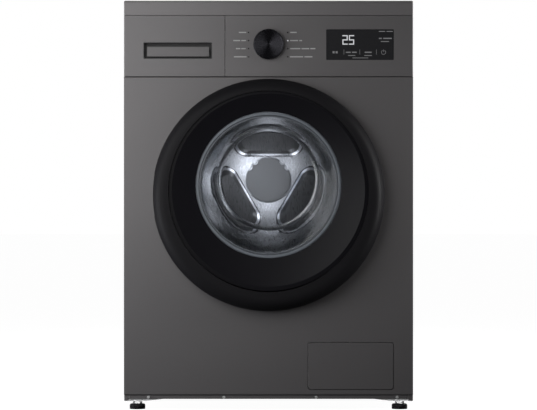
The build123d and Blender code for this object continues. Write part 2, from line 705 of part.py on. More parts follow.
def door_back_frame():
    """The plate that closes the back of the door, clamps the glass and carries hook and leaf."""
    frame = rod(BACK_RADIUS, *BACK_DEPTH, 0, RING_Z)
    frame += rod(CLAMP_RADIUS, GLASS_FRONT + GLASS_FLANGE[1], BACK_DEPTH[1], 0, GLASS_Z)
    frame -= rod(CLAMP_BORE, -40, 0, 0, GLASS_Z)
    frame -= hinge_sweep()
    frame -= block(202, 240, -25, 0, RING_Z - GRIP_HALF, RING_Z + GRIP_HALF)
    pocket = block(199, 228, -24, -5, RING_Z - GRIP_HALF + 0.5, RING_Z + GRIP_HALF - 0.5)
    frame += pocket - block(201, 232, -22, 0, RING_Z - GRIP_HALF + 2.5, RING_Z + GRIP_HALF - 2.5)
    frame -= hook_slot()
    for side in (-1, 1):
        low, high = sorted((side * 8, side * 11))
        frame += block(180, 192, -20, -7, HOOK_Z + low, HOOK_Z + high)
    return frame + post(2.5, HOOK_Z - 9, HOOK_Z + 9, HOOK_X, HOOK_DEPTH)


def hinge_leaf():
    """The moving half of the door hinge: a hub on the pin and a plate on the back frame."""
    leaf = post(HINGE_HUB, RING_Z - LEAF_HALF, RING_Z + LEAF_HALF, HINGE_X, HINGE_DEPTH)
    leaf += block(HINGE_X, -178, -27, -21, RING_Z - LEAF_HALF, RING_Z + LEAF_HALF)
    leaf += block(-184, -172, -25, -8, RING_Z - LEAF_HALF, RING_Z + LEAF_HALF)
    return leaf - post(HINGE_PIN + 0.3, RING_Z - 40, RING_Z + 40, HINGE_X, HINGE_DEPTH)


def door_hook():
    """The sprung hook of the door: an eye on its post, a shank and a barb."""
    hook = post(5.0, HOOK_Z - 6, HOOK_Z + 6, HOOK_X, HOOK_DEPTH)
    hook += block(HOOK_X - 3.5, HOOK_X + 3.5, HOOK_DEPTH, 18, HOOK_Z - 6, HOOK_Z + 6)
    barb = make_face(Polyline((3, 10), (9, 11), (9, 13), (3, 22), (-3.5, 22), (-3.5, 10), close=True))
    hook += Pos(HOOK_X, FRONT, HOOK_Z - 6) * extrude(barb, 12)
    return hook - post(2.8, HOOK_Z - 9, HOOK_Z + 9, HOOK_X, HOOK_DEPTH)


def door_gasket():
    """The rubber bellows between the door opening and the throat of the tub."""
    bead = ((170.2, 2.0), (170.2, 11.2), (164.6, 11.2), (164.6, 2.4), (149.5, 5.5))
    folds = ((164.6, 9.0), (156.0, 19.0), (171.0, 26.0), (157.0, 34.0))
    folds += ((171.0, 42.0), (165.4, 49.0), (165.4, 60.0))
    gasket = turned_sheet(bead, 1.5, 2.2, OPENING_Z)
    return gasket + turned_sheet(folds, 2.0, 2.2, OPENING_Z)


def gasket_clamp():
    """The wire ring that holds the gasket on the collar of the front panel."""
    return Pos(0, FRONT + 6.5, OPENING_Z) * Rot(90, 0, 0) * Torus(*GASKET_WIRE)


def tub_front():
    """The front half of the tub with its throat, fill port and sump port."""
    r, wall = TUB_RADIUS, TUB_WALL
    front = TUB_FRONT
    flange = TUB_SPLIT - TUB_FLANGE
    points = ((r - wall, front + wall), (176, front + wall), (176, front), (r, front), (r, flange))
    points += ((r + TUB_FLANGE, flange), (r + TUB_FLANGE, TUB_SPLIT), (r - wall, TUB_SPLIT))
    tub = turned(points, DRUM_Z)
    throat = ((THROAT_RADIUS, 50), (THROAT_RADIUS + 4, 50), (THROAT_RADIUS + 4, front))
    throat += ((192, front), (192, front + wall), (THROAT_RADIUS, front + wall))
    tub += turned(throat, OPENING_Z)
    x, depth = FILL_HOSE
    inside = rod(r - wall, front + wall, TUB_SPLIT + 1, 0, DRUM_Z)
    tub += post(FILL_PORT[0], 600, 664, x, depth) - inside
    tub -= post(FILL_PORT[1], 560, 665, x, depth)
    x, depth = SUMP_HOSE
    tub += post(SUMP_PORT[0], 250, 320, x, depth) - inside
    tub -= post(SUMP_PORT[1], 249, 340, x, depth)
    for side in (-1, 1):
        tub -= rod(HEATER_ROD + 0.4, front - 1, front + wall + 1, side * HEATER_X, heater_z())
    return tub


def heater_z():
    """Height of the heater rods in the gap below the drum."""
    middle = (DRUM_RADIUS + TUB_RADIUS - TUB_WALL) / 2
    return DRUM_Z - math.sqrt(middle ** 2 - HEATER_X ** 2)


def heater():
    """A bent heating rod in the gap between drum and tub, with its terminal plate in front."""
    z = heater_z()
    points = ((-HEATER_X, 52), (-HEATER_X, 300), (HEATER_X, 300), (HEATER_X, 52))
    path = Pos(0, FRONT, z) * FilletPolyline(*points, radius=12)
    tube_shape = sweep(Plane(path @ 0, z_dir=path % 0) * Circle(HEATER_ROD), path=path)
    return tube_shape + block(-HEATER_X - 10, HEATER_X + 10, TUB_FRONT - 5, TUB_FRONT, z - 8, z + 8)


def tub_rear():
    """The ribbed rear half of the tub with the bearing hub and spring lugs."""
    r, wall = TUB_RADIUS, TUB_WALL
    back = TUB_BACK
    points = ((r, TUB_SPLIT + TUB_FLANGE), (r, back), (38, back), (38, 420))
    points += ((26, 420), (26, 405), (22, 405), (22, 391))
    points += ((31, 391), (31, back - wall), (r - wall, back - wall), (r - wall, TUB_SPLIT))
    points += ((r + TUB_FLANGE, TUB_SPLIT), (r + TUB_FLANGE, TUB_SPLIT + TUB_FLANGE))
    tub = turned(points, DRUM_Z)
    for step in range(RIBS):
        rib = block(-1.5, 1.5, back - 1, back + 14, 36, r - 3)
        tub += Pos(0, 0, DRUM_Z) * Rot(0, step * 360 / RIBS, 0) * rib
    tub += turned(((150, back - 1), (153, back - 1), (153, back + 14), (150, back + 14)), DRUM_Z)
    for side in (-1, 1):
        tub += spring_lug(side)
    return tub


def spring_lug(side):
    """The ear of the tub that a suspension spring hooks into."""
    x, z = SPRING_LUG
    solid = block(side * x - 12, side * x + 12, SPRING_DEPTH - 14, SPRING_DEPTH + 14, z - 62, z)
    solid -= rod(TUB_RADIUS - 2, SPRING_DEPTH - 20, SPRING_DEPTH + 20, 0, DRUM_Z)
    return solid - post(SPRING_COIL + 4, z - 6, z + 1, side * x, SPRING_DEPTH)


def counterweights():
    """Two cast arcs on the front of the tub, above and below the door opening."""
    arcs = []
    d0, d1 = WEIGHT_DEPTH
    for middle, outer in WEIGHTS:
        sector = Plane.XZ * make_face(Polyline((0, 0), *fan(middle, WEIGHT_ANGLE, 600.0), close=True))
        wedge = Pos(0, FRONT + d1, DRUM_Z) * extrude(sector, d1 - d0)
        ring = turned(((WEIGHT_INNER, d0), (outer, d0), (outer, d1), (WEIGHT_INNER, d1)), DRUM_Z)
        arc = ring & wedge
        arc += arc_feet(middle)
        arcs.append(arc)
    return group(arcs)


def fan(middle, half_angle, reach):
    """Three far points of a sector about a middle angle."""
    angles = (math.radians(middle - half_angle), math.radians(middle), math.radians(middle + half_angle))
    return [(reach * math.cos(a), reach * math.sin(a)) for a in angles]


def arc_feet(middle):
    """The three cast pads that stand a counterweight off the tub front."""
    pads = []
    for offset in (-38.0, 0.0, 38.0):
        angle = math.radians(middle + offset)
        x, z = WEIGHT_FEET * math.cos(angle), WEIGHT_FEET * math.sin(angle)
        pads.append(rod(13.0, WEIGHT_DEPTH[1] - 2, TUB_FRONT, x, DRUM_Z + z))
    return pads


def drum_bearings():
    """The front and the rear ball bearing of the drum shaft, each with its race grooves."""
    bearings = []
    for shaft, outer, d0, d1 in ((SHAFT_RADIUS, 31, 374, 390), (SHAFT_TAIL, 26, 406, 420)):
        inner = shaft + SHAFT_CLEARANCE
        groove = (outer - inner) * 0.28
        points = ((inner, d0), (inner + groove, d0), (inner + groove, d0 + 1), (outer - groove, d0 + 1))
        points += ((outer - groove, d0), (outer, d0), (outer, d1), (outer - groove, d1))
        points += ((outer - groove, d1 - 1), (inner + groove, d1 - 1), (inner + groove, d1), (inner, d1))
        bearings.append(turned(points, DRUM_Z))
    return group(bearings)


def stator():
    """The wound core of the drum motor: a ring with teeth and a clamping flange."""
    d0, d1 = STATOR_DEPTH
    bore, rim = STATOR_CORE
    core = Circle(rim) - Circle(bore)
    for step in range(STATOR_TEETH):
        core += Rot(0, 0, step * 360 / STATOR_TEETH) * Pos(rim + 18, 0) * Rectangle(40, 9)
    winding = Pos(0, FRONT + d1, DRUM_Z) * extrude(Plane.XZ * core, d1 - d0)
    flange = ((40, d0), (bore + 4, d0), (bore + 4, d0 + 4), (40, d0 + 4))
    return winding + turned(flange, DRUM_Z)


def rotor():
    """The motor bell that turns with the shaft, with vent slots in its web."""
    front, back = ROTOR_WEB
    inner = ROTOR_RADIUS - ROTOR_WALL
    points = ((SHAFT_TAIL, front - 4), (24, front - 4), (24, front), (inner, front), (inner, 394))
    points += ((ROTOR_RADIUS, 394), (ROTOR_RADIUS, back), (24, back), (24, back + 5), (SHAFT_TAIL, back + 5))
    bell = turned(points, DRUM_Z)
    for step in range(RIBS):
        slot = block(-7, 7, front - 2, back + 2, 45, 105)
        slot = fillet(slot.edges().filter_by(Axis.Y), 6.0)
        bell -= Pos(0, 0, DRUM_Z) * Rot(0, step * 360 / RIBS, 0) * slot
    return bell


def drum_shaft():
    """The stepped steel shaft from the spider to the motor bell."""
    points = ((0, 356), (SHAFT_RADIUS, 356), (SHAFT_RADIUS, 396), (SHAFT_TAIL, 396))
    points += ((SHAFT_TAIL, 436), (10, 436), (10, 445), (0, 445))
    return turned(points, DRUM_Z)


def drum_spider():
    """The cast three arm spider behind the drum back, with a hub boss and a pad at the end of each arm."""
    d0, d1 = SPIDER_DEPTH
    arms = Circle(SPIDER_HUB)
    for angle in LIFTER_ANGLES:
        arms += Rot(0, 0, angle) * Pos(125, 0) * Trapezoid(46, 200, 86, rotation=-90)
    solid = Pos(0, FRONT + d1, DRUM_Z) * extrude(Plane.XZ * arms, d1 - d0)
    solid = solid & rod(SPIDER_REACH, d0 - 1, d1 + 1, 0, DRUM_Z)
    solid += rod(SPIDER_HUB - 8, DRUM_BACK, d0 + 1, 0, DRUM_Z)
    for angle in LIFTER_ANGLES:
        x, z = SPIDER_PAD * math.cos(math.radians(angle)), SPIDER_PAD * math.sin(math.radians(angle))
        solid += rod(9.0, DRUM_BACK, d0 + 1, x, DRUM_Z + z)
    return solid - rod(SHAFT_RADIUS, DRUM_BACK + 6, d1 + 1, 0, DRUM_Z)


def drum_wrapper():
    """The plain rolled wall of the drum."""
    r = DRUM_RADIUS
    points = ((r - STEEL, DRUM_FRONT + 5), (r, DRUM_FRONT + 5), (r, DRUM_BACK), (r - STEEL, DRUM_BACK))
    return turned(points, DRUM_Z)


def drum_front():
    """The pressed front ring of the drum with a rolled mouth."""
    r = DRUM_RADIUS - STEEL - STEEL / 2 - 0.05
    face = DRUM_FRONT + 0.5
    points = ((r, DRUM_FRONT + 20), (r, DRUM_FRONT + 4), (r - 12, face), (DRUM_MOUTH + 4, face))
    points += ((DRUM_MOUTH + 0.5, DRUM_FRONT + 5), (DRUM_MOUTH + 0.5, DRUM_FRONT + 12))
    return turned_sheet(points, (3.0, 3.0, 2.5, 2.0), STEEL, DRUM_Z)


def petal(outline, grow, angle, depth):
    """A section of one pressed recess of the drum back: a circle segment beyond a chord, at a depth."""
    chord, radius, corner = outline
    chord, radius, corner = chord - grow, radius + grow, corner + grow
    segment = Circle(radius) & (Pos(chord + radius, 0) * Rectangle(2 * radius, 2 * radius))
    section = Rot(0, 0, angle) * fillet(segment.vertices(), corner)
    return Pos(0, FRONT + depth, DRUM_Z) * (Plane.XZ * section)


def middle_disc():
    """The raised disc of the drum back, with two scallops at each upper arm."""
    disc = Circle(DISC_RADIUS)
    for angle in SCALLOP_ANGLES:
        disc -= Rot(0, 0, angle) * Pos(DISC_RADIUS + SCALLOP_RADIUS / 2, 0) * Circle(SCALLOP_RADIUS)
    start = DRUM_BACK - PRESSING
    solid = Pos(0, FRONT + start, DRUM_Z) * extrude(Plane.XZ * disc, DISC_PROUD)
    return fillet(solid.edges().group_by(Axis.Y)[0], 1.2)


def drum_back():
    """The pressed back of the drum: three sloped petals round a raised middle disc."""
    r = DRUM_RADIUS - STEEL - 0.05
    face = DRUM_BACK - PRESSING
    rim = face - 12.5
    points = ((0, face), (r - 1, face), (r - 1, rim), (r, rim), (r, DRUM_BACK), (0, DRUM_BACK))
    back = turned(points, DRUM_Z)
    floor = face + PETAL_DEEP
    for angle in PETAL_ANGLES:
        mouth = petal(PETAL_MOUTH, PRESSING, angle, face)
        back += loft([mouth, petal(PETAL_FLOOR, PRESSING, angle, floor + PRESSING)])
    for angle in PETAL_ANGLES:
        mouth = petal(PETAL_MOUTH, 0.0, angle, face - 0.01)
        back -= loft([mouth, petal(PETAL_FLOOR, 0.0, angle, floor)])
    return back + middle_disc()


def drum_lifters():
    """Three hollow moulded lifters inside the drum wall."""
    lifters = []
    wall = rod(DRUM_RADIUS - STEEL - 0.15, DRUM_FRONT, DRUM_BACK, 0, 0)
    for angle in LIFTER_ANGLES:
        outer = extrude(Plane.XZ * Trapezoid(78, 56, 66), 225)
        outer = fillet(outer.edges().group_by(Axis.Z)[-1], 10.0)
        inner = extrude(Plane.XZ * Trapezoid(72, 56, 66), 219)
        shape = Pos(0, FRONT + 333, -216) * outer - Pos(0, FRONT + 330, -219) * inner
        shape = shape & wall
        lifters.append(Pos(0, 0, DRUM_Z) * Rot(0, 270 - angle, 0) * shape)
    return group(lifters)


def damper_cylinders():
    """The two friction damper sleeves, with an eye on the base pan brackets."""
    sleeves = []
    for side in (-1, 1):
        foot = (side * DAMPER_FOOT[0], DAMPER_FOOT[1])
        eye = (side * DAMPER_EYE[0], DAMPER_EYE[1])
        sleeve = slanted(SLEEVE_RADIUS, along(foot, eye, 6), along(foot, eye, 120), DAMPER_DEPTH)
        sleeve += rod(12.0, DAMPER_DEPTH - 16, DAMPER_DEPTH + 16, *foot)
        sleeve += rod(4.9, DAMPER_DEPTH - 21, DAMPER_DEPTH + 21, *foot)
        sleeve -= slanted(SLEEVE_BORE, along(foot, eye, 22), along(foot, eye, 130), DAMPER_DEPTH)
        sleeves.append(sleeve)
    return group(sleeves)


def damper_rods():
    """The two damper rods, each with a piston and an eye below the tub."""
    rods = []
    for side in (-1, 1):
        foot = (side * DAMPER_FOOT[0], DAMPER_FOOT[1])
        eye = (side * DAMPER_EYE[0], DAMPER_EYE[1])
        length = math.dist(foot, eye)
        shape = slanted(DAMPER_ROD, along(foot, eye, 50), along(foot, eye, length - 4), DAMPER_DEPTH)
        shape += slanted(PISTON_RADIUS, along(foot, eye, 50), along(foot, eye, 80), DAMPER_DEPTH)
        shape += rod(11.0, DAMPER_DEPTH - 12, DAMPER_DEPTH + 12, *eye)
        block_up = block(eye[0] - 9, eye[0] + 9, DAMPER_DEPTH - 12, DAMPER_DEPTH + 12, eye[1], eye[1] + 60)
        shape += block_up - rod(TUB_RADIUS, DAMPER_DEPTH - 14, DAMPER_DEPTH + 14, 0, DRUM_Z)
        rods.append(shape)
    return group(rods)


def coil_path(turns, height):
    """A coil made of half turn arcs."""
    rise = height / turns
    arcs = []
    for half in range(2 * turns):
        z = rise * half / 2
        side = 1 if half % 2 == 0 else -1
        start = (side * SPRING_COIL, 0, z)
        middle = (0, side * SPRING_COIL, z + rise / 4)
        arcs.append(ThreePointArc(start, middle, (-side * SPRING_COIL, 0, z + rise / 2)))
    return Curve() + arcs


def suspension_springs():
    """Two coil springs between the top rails and the tub lugs."""
    springs = []
    for side in (-1, 1):
        low = (side * SPRING_LUG[0], SPRING_LUG[1])
        high = (side * SPRING_TOP[0], SPRING_TOP[1])
        coil = coil_path(SPRING_TURNS, math.dist(low, high) - 20)
        wire = sweep(Plane(coil @ 0, z_dir=coil % 0) * Circle(SPRING_WIRE), path=coil)
        start = Vector(low[0], FRONT + SPRING_DEPTH, low[1])
        run = Vector(high[0] - low[0], 0, high[1] - low[1])
        springs.append(Plane(start, z_dir=run) * (Pos(0, 0, 10) * wire))
    return group(springs)


def ribbed_hose(port, z0, z1, place):
    """An upright rubber hose on a port, with plain cuffs and round ribs between them."""
    bore = port[0] + HOSE_FIT
    outer = bore + HOSE_RUBBER
    hose = tube(outer, bore, z0, z1, *place)
    for step in range(5):
        z = z0 + (z1 - z0) * (0.3 + 0.1 * step)
        hose += tube(outer + 2.0, bore, z - 2, z + 2, *place)
    return hose


def tub_hoses():
    """The fill hose from the dispenser housing and the sump hose to the pump."""
    fill = ribbed_hose(FILL_PORT, 644, HOUSING_Z[0] - 3, FILL_HOSE)
    sump = ribbed_hose(SUMP_PORT, 134, 264, SUMP_HOSE)
    return group([fill, sump])


def drain_pump():
    """The pump: filter chamber open to the front, inlet above, motor behind, outlet to the right."""
    x, z = PUMP_X, PUMP_Z
    pump = rod(PUMP_BODY, 32, 142, x, z) + rod(PUMP_MOTOR, 142, 195, x, z)
    pump += block(x - 24, x + 24, 60, 170, PAN_BOTTOM + PAN_WALL, z - 14)
    pump += post(SUMP_PORT[0], z, 148, *SUMP_HOSE)
    pump += bar(11.0, x, 224, PUMP_OUTLET, DRAIN[1])
    pump -= rod(PUMP_CHAMBER, 31, 112, x, z)
    pump -= rod(PUMP_CHAMBER - 5, 111, 137, x, z)
    pump -= post(SUMP_PORT[1], z, 149, *SUMP_HOSE)
    return pump - bar(8.0, x, 225, PUMP_OUTLET, DRAIN[1])


def pump_filter():
    """The screw-in lint filter with its finger bar and a slotted basket."""
    x, z = PUMP_X, PUMP_Z
    lint = rod(FILTER_CAP, 24, 31.5, x, z) + rod(FILTER_PLUG, 31, 48, x, z)
    lint += rod(FILTER_BASKET, 48, 62, x, z)
    lint += block(x - 27, x + 27, 9, 25, z - 4, z + 4)
    for step in range(6):
        angle = math.radians(60 * step)
        lint += rod(3.0, 60, 98, x + 20 * math.cos(angle), z + 20 * math.sin(angle))
    return lint + (rod(FILTER_BASKET - 0.5, 94, 98, x, z) - rod(16.0, 90, 99, x, z))


def hatch_frame():
    """The moulded frame that lines the hatch opening."""
    frame = window(HATCH_X, HATCH_Z, HATCH_CORNER + 4, SHEET, 22, 8.0)
    frame -= window(HATCH_X, HATCH_Z, HATCH_CORNER, 0, 23, HATCH_GAP)
    return frame - bar(HATCH_PIVOT + 0.1, HATCH_X[0] - 4, HATCH_X[1] + 4, HATCH_AXIS[0], HATCH_AXIS[1])


def drain_hatch():
    """The flush lid in front of the filter, with a pivot stub on each side."""
    lid = window(HATCH_X, HATCH_Z, HATCH_CORNER, 0, 3)
    lid = fillet(lid.edges().group_by(Axis.Y)[0], 0.6)
    for x in HATCH_X:
        lid += bar(HATCH_PIVOT, x - 2.5, x + 2.5, HATCH_AXIS[0], HATCH_AXIS[1])
    return lid


def drain_hose():
    """The drain hose from the pump to its cuff in the rear panel."""
    points = ((214, PUMP_OUTLET), (DRAIN[0], PUMP_OUTLET), (DRAIN[0], CABINET_DEPTH - 14))
    path = Pos(0, FRONT, DRAIN[1]) * FilletPolyline(*points, radius=20)
    hose = sweep(Plane(path @ 0, z_dir=path % 0) * (Circle(13.5) - Circle(11.1)), path=path)
    cuff = rod(13.5, CABINET_DEPTH - 14, CABINET_DEPTH - SHEET, *DRAIN)
    cuff += rod(11.2, CABINET_DEPTH - SHEET, CABINET_DEPTH, *DRAIN)
    cuff += rod(11.0, CABINET_DEPTH, CABINET_DEPTH + REAR_PROUD, *DRAIN)
    return hose + (cuff - rod(8.5, CABINET_DEPTH - 15, CABINET_DEPTH + REAR_PROUD + 1, *DRAIN))


def cord_gland():
    """The strain relief of the mains lead in the rear panel."""
    back = CABINET_DEPTH
    gland = rod(9.0, back - 12, back + 8, *CORD) + rod(12.0, back, back + 3, *CORD)
    gland += rod(12.0, back - 5, back - SHEET, *CORD)
    return gland - rod(4.0, back - 13, back + 9, *CORD)


def transit_caps():
    """Four push-in caps in the transit bolt holes of the rear panel."""
    back = CABINET_DEPTH
    caps = []
    for x, z in TRANSIT:
        cap = rod(17.0, back, back + 3, x, z) + rod(12.0, back - 8, back, x, z)
        caps.append(cap - rod(10.0, back - 9, back - 1, x, z))
    return group(caps)


def cabinet_screws():
    """The sheet screws of the front lip, the rear panel and the service cover."""
    screws = []
    seat = LIP_DEPTH - SHEET / 2
    for x in LIP_SCREW_X:
        screws.append(sheet_screw(SCREW_HEAD, seat, -1, x, LIP_SCREW_Z))
    for points, lift in ((REAR_SCREWS, 0.0), (cover_screws(), COVER_SHEET)):
        for x, z in points:
            screws.append(sheet_screw(REAR_SCREW_HEAD, CABINET_DEPTH + lift, 1, x, z))
    return group(screws)


def sheet_screw(radius, seat, way, x, z):
    """A screw with a soft edged, cross recessed head that points back if way is 1 and front if it is -1."""
    top = seat + way * SCREW_HEAD_HEIGHT
    low, high = sorted((seat, top))
    head = rod(radius, low, high, x, z)
    rims = head.edges().filter_by(GeomType.CIRCLE).sort_by(Axis.Y)
    head = fillet(rims[-1] if way > 0 else rims[0], 0.5)
    low, high = sorted((top - way * SCREW_HEAD_HEIGHT / 2, top + way))
    long, short = 0.6 * radius, 0.14 * radius
    for wide, tall in ((long, short), (short, long)):
        head -= block(x - wide, x + wide, low, high, z - tall, z + tall)
    low, high = sorted((seat, seat - way * SCREW_LENGTH))
    return head + rod(SCREW_SHANK, low, high, x, z)


def foot_lock_nuts():
    """The four hexagon nuts that lock the levelling feet below the base pan."""
    nuts = []
    for depth in FOOT_DEPTHS:
        for x in (-FOOT_X, FOOT_X):
            nut = extrude(RegularPolygon(9.8, 6), 5.6) - Pos(0, 0, 2.8) * Cylinder(FOOT_STEM + 0.4, 8)
            nuts.append(Pos(x, FRONT + depth, FOOT_HEIGHT + 0.7) * nut)
    return group(nuts)


def foot(x, depth):
    """A levelling foot: a soft edged pad and its stem."""
    pad = post(FOOT_PAD, 0, FOOT_HEIGHT, x, depth)
    pad = fillet(pad.edges().group_by(Axis.Z)[-1], 2.5)
    return pad + post(FOOT_STEM, FOOT_HEIGHT, 54, x, depth)


NODES = {
    "left_side_panel": left_side_panel,
    "right_side_panel": right_side_panel,
    "front_panel": front_panel,
    "rear_panel": rear_panel,
    "rear_service_cover": rear_service_cover,
    "base_pan": base_pan,
    "top_cover": top_cover,
    "top_rails": top_rails,
    "control_panel": control_panel,
    "display_window": display_window,
    "main_board_case": main_board_case,
    "dispenser_housing": dispenser_housing,
    "inlet_valve": inlet_valve,
    "inlet_hose": inlet_hose,
    "hinge_bracket": hinge_bracket,
    "hinge_pin": hinge_pin,
    "door_lock": door_lock,
    "drain_pump": drain_pump,
    "hatch_frame": hatch_frame,
    "drain_hose": drain_hose,
    "cord_gland": cord_gland,
    "transit_caps": transit_caps,
    "cabinet_screws": cabinet_screws,
    "foot_lock_nuts": foot_lock_nuts,
    "gasket_clamp": gasket_clamp,
    "damper_cylinders": damper_cylinders,
    "door_gasket": door_gasket,
    "suspension_springs": suspension_springs,
    "tub_hoses": tub_hoses,
    "tub_front": tub_front,
    "tub_rear": tub_rear,
    "counterweights": counterweights,
    "drum_bearings": drum_bearings,
    "stator": stator,
    "heater": heater,
    "damper_rods": damper_rods,
    "drum_wrapper": drum_wrapper,
    "drum_front": drum_front,
    "drum_back": drum_back,
    "drum_lifters": drum_lifters,
    "drum_spider": drum_spider,
    "drum_shaft": drum_shaft,
    "rotor": rotor,
    "door_frame": door_frame,
    "door_dish": door_dish,
    "door_glass": door_glass,
    "door_back_frame": door_back_frame,
    "hinge_leaf": hinge_leaf,
    "door_hook": door_hook,
    "drawer_front": drawer_front,
    "drawer_cup": drawer_cup,
    "drawer_grip": drawer_grip,
    "drawer_tray": drawer_tray,
    "dial_knob": dial_knob,
    "drain_hatch": drain_hatch,
    "pump_filter": pump_filter,
    "front_left_foot": lambda: foot(-FOOT_X, FOOT_DEPTHS[0]),
    "front_right_foot": lambda: foot(FOOT_X, FOOT_DEPTHS[0]),
    "rear_left_foot": lambda: foot(-FOOT_X, FOOT_DEPTHS[1]),
    "rear_right_foot": lambda: foot(FOOT_X, FOOT_DEPTHS[1]),
}

os.makedirs("parts", exist_ok=True)
for name, make in NODES.items():
    shape = make()
    export_step(shape, f"parts/{name}.step")
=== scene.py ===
import math

import bpy
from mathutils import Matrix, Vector


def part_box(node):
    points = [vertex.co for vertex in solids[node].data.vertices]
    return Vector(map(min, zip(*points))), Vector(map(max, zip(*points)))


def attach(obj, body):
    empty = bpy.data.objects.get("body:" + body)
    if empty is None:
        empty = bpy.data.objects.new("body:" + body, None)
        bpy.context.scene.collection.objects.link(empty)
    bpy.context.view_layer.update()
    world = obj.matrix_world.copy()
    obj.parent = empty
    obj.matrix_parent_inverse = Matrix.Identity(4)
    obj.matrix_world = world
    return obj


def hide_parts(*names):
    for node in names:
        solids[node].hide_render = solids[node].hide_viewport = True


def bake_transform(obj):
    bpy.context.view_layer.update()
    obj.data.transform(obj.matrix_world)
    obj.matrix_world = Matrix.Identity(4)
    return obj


# Looks of a front load washing machine. Lengths are millimetres; MM turns them into metres.
# Depths are measured behind the outer face of the front panel; a negative depth stands in front of it.
MM = 0.001

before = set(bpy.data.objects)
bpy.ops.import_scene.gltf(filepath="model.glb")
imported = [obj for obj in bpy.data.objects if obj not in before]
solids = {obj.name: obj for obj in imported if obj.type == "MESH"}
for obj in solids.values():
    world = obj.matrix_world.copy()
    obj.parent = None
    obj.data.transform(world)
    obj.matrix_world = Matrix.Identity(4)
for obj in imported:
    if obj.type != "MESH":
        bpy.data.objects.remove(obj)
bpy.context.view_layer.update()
scene = bpy.context.scene


def front_of(node):
    """The y of a node's front, in millimetres to a tenth."""
    low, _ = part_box(node)
    return round(low.y / MM, 1)


def middle_z(node):
    """The height of a node's middle, in millimetres to a tenth."""
    low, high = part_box(node)
    return round((low.z + high.z) / (2 * MM), 1)


# Places taken from the frame: the front face, the heights of four axes and the depth of the display's pane
FRONT = front_of("front_panel")
OPENING_Z = middle_z("door_gasket")
GLASS_Z = middle_z("door_glass")
DRUM_Z = middle_z("drum_wrapper")
DRAIN_Z = middle_z("drain_hose")
PANE_DEPTH = round(front_of("display_window") - FRONT, 1)

# Camera: level, straight in front, framed as the photograph
CAMERA_DISTANCE = 5000.0
CAMERA_HEIGHT = 425.8
CAMERA_LENS = 161.55
CAMERA_SENSOR = 36.0

# Door glass: the depth at which the side of its bowl ends
BOWL_END = 90.0

# Drum: the disc and the pressed petals of its back, and the holes in its wall
DISC_DEPTH = 344.5
DISC_RADIUS = 50.6
PETAL_DEPTH = 348.5
PETAL_DEEP = 7.0
HOLES_ROUND = 80
HOLE_PITCH = 18.5

# Trim ring of the glass: its outline as radius and depth
RIM_INNER = 140.5
RIM_OUTER = 150.8
RIM_OUTLINE = (
    (RIM_INNER, -23.7), (140.9, -24.3), (142.3, -24.3), (142.8, -24.0), (144.6, -24.0), (144.9, -24.7),
    (145.5, -24.85), (147.6, -24.8), (149.8, -24.6), (RIM_OUTER, -24.3), (149.6, -24.15), (143.5, -23.7),
)

# Thin cap on the drum's disc: the notches in its edge, and its crown as shares of radius and height
NOTCH_ANGLES = (34.0, 54.0, 126.0, 146.0)
NOTCH_RADIUS = 8.0
NOTCH_REACH = 53.6
CAP_PROUD = 0.8
CAP_CROWN = ((0.95, 0.02), (0.97, 0.25), (0.95, 0.6), (0.9, 0.75), (0.5, 0.9), (0.02, 1.0))
CAP_STEPS = 180

# Door gasket: radius and depth along the middle of the rubber; the folds stretch between two depths
GASKET_THICKNESS = 2.2
GASKET_LIP = ((170.2, 2.0), (170.2, 11.2), (164.6, 11.2), (164.6, 2.4), (149.5, 5.5))
GASKET_FOLDS = (
    (164.6, 9.0), (156.0, 19.0), (171.0, 26.0), (157.0, 34.0), (171.0, 42.0), (165.4, 49.0), (165.4, 60.0),
)

# Suspension springs: x and z of both ends on the right side; the coil stretches between two heights
SPRING_DEPTH = 320.0
SPRING_TOP = (282.0, 800.0)
SPRING_LUG = (228.0, 630.0)
SPRING_COIL = 11.0
SPRING_WIRE = 1.8
SPRING_TURNS = 14
SPRING_TURN_STEPS = 20
SPRING_PAST_LUG = 2.0
SPRING_STRAIGHT = 5.0
SPRING_HOOK = 10.0

# Ribbed hoses: outer radius, bore radius, the two ends and the number of ribs
FILL_HOSE = (16.5, 14.1, 644.0, 716.0, 5)
SUMP_HOSE = (19.5, 17.1, 134.0, 264.0, 5)
INLET_HOSE = (9.6, 8.1, 264.0, 423.0, 16)
# Their ribs: the shares of the length between which they lie, and the height of one
RIBS_FROM = 0.26
RIBS_TO = 0.74
RIB_HEIGHT = 2.0
RIB_STEPS = 8
# Where they are: x and depth of the upright ones, x and z of the lying one
FILL_PLACE = (-215.0, 130.0)
SUMP_PLACE = (150.0, 88.0)
INLET_PLACE = (-190.0, 792.0)
# Heights of the two ends of the upright ones: the cabinet's end and the tub's end
FILL_STRETCH = (708.0, 652.0)
SUMP_STRETCH = (142.0, 256.0)

# Drain hose: a bend as x and depth, a straight run and a barbed cuff as radius and depth
DRAIN_X = 250.0
DRAIN_RADIUS = 13.5
DRAIN_BORE = 8.5
DRAIN_BEND = ((214.0, 124.0), (DRAIN_X, 124.0), (DRAIN_X, 160.0))
DRAIN_CUFF = 461.0
DRAIN_RUN_STEPS = 40
DRAIN_CUFF_OUTLINE = (
    (DRAIN_BORE, DRAIN_CUFF), (DRAIN_RADIUS, DRAIN_CUFF), (DRAIN_RADIUS, 474.0), (11.2, 474.0), (11.2, 475.0),
    (11.0, 475.2), (11.0, 476.6), (10.4, 477.0), (11.0, 477.6), (11.0, 480.0), (10.4, 480.6), (11.0, 481.0),
    (11.0, 484.4), (10.4, 485.0), (DRAIN_BORE, 485.0),
)

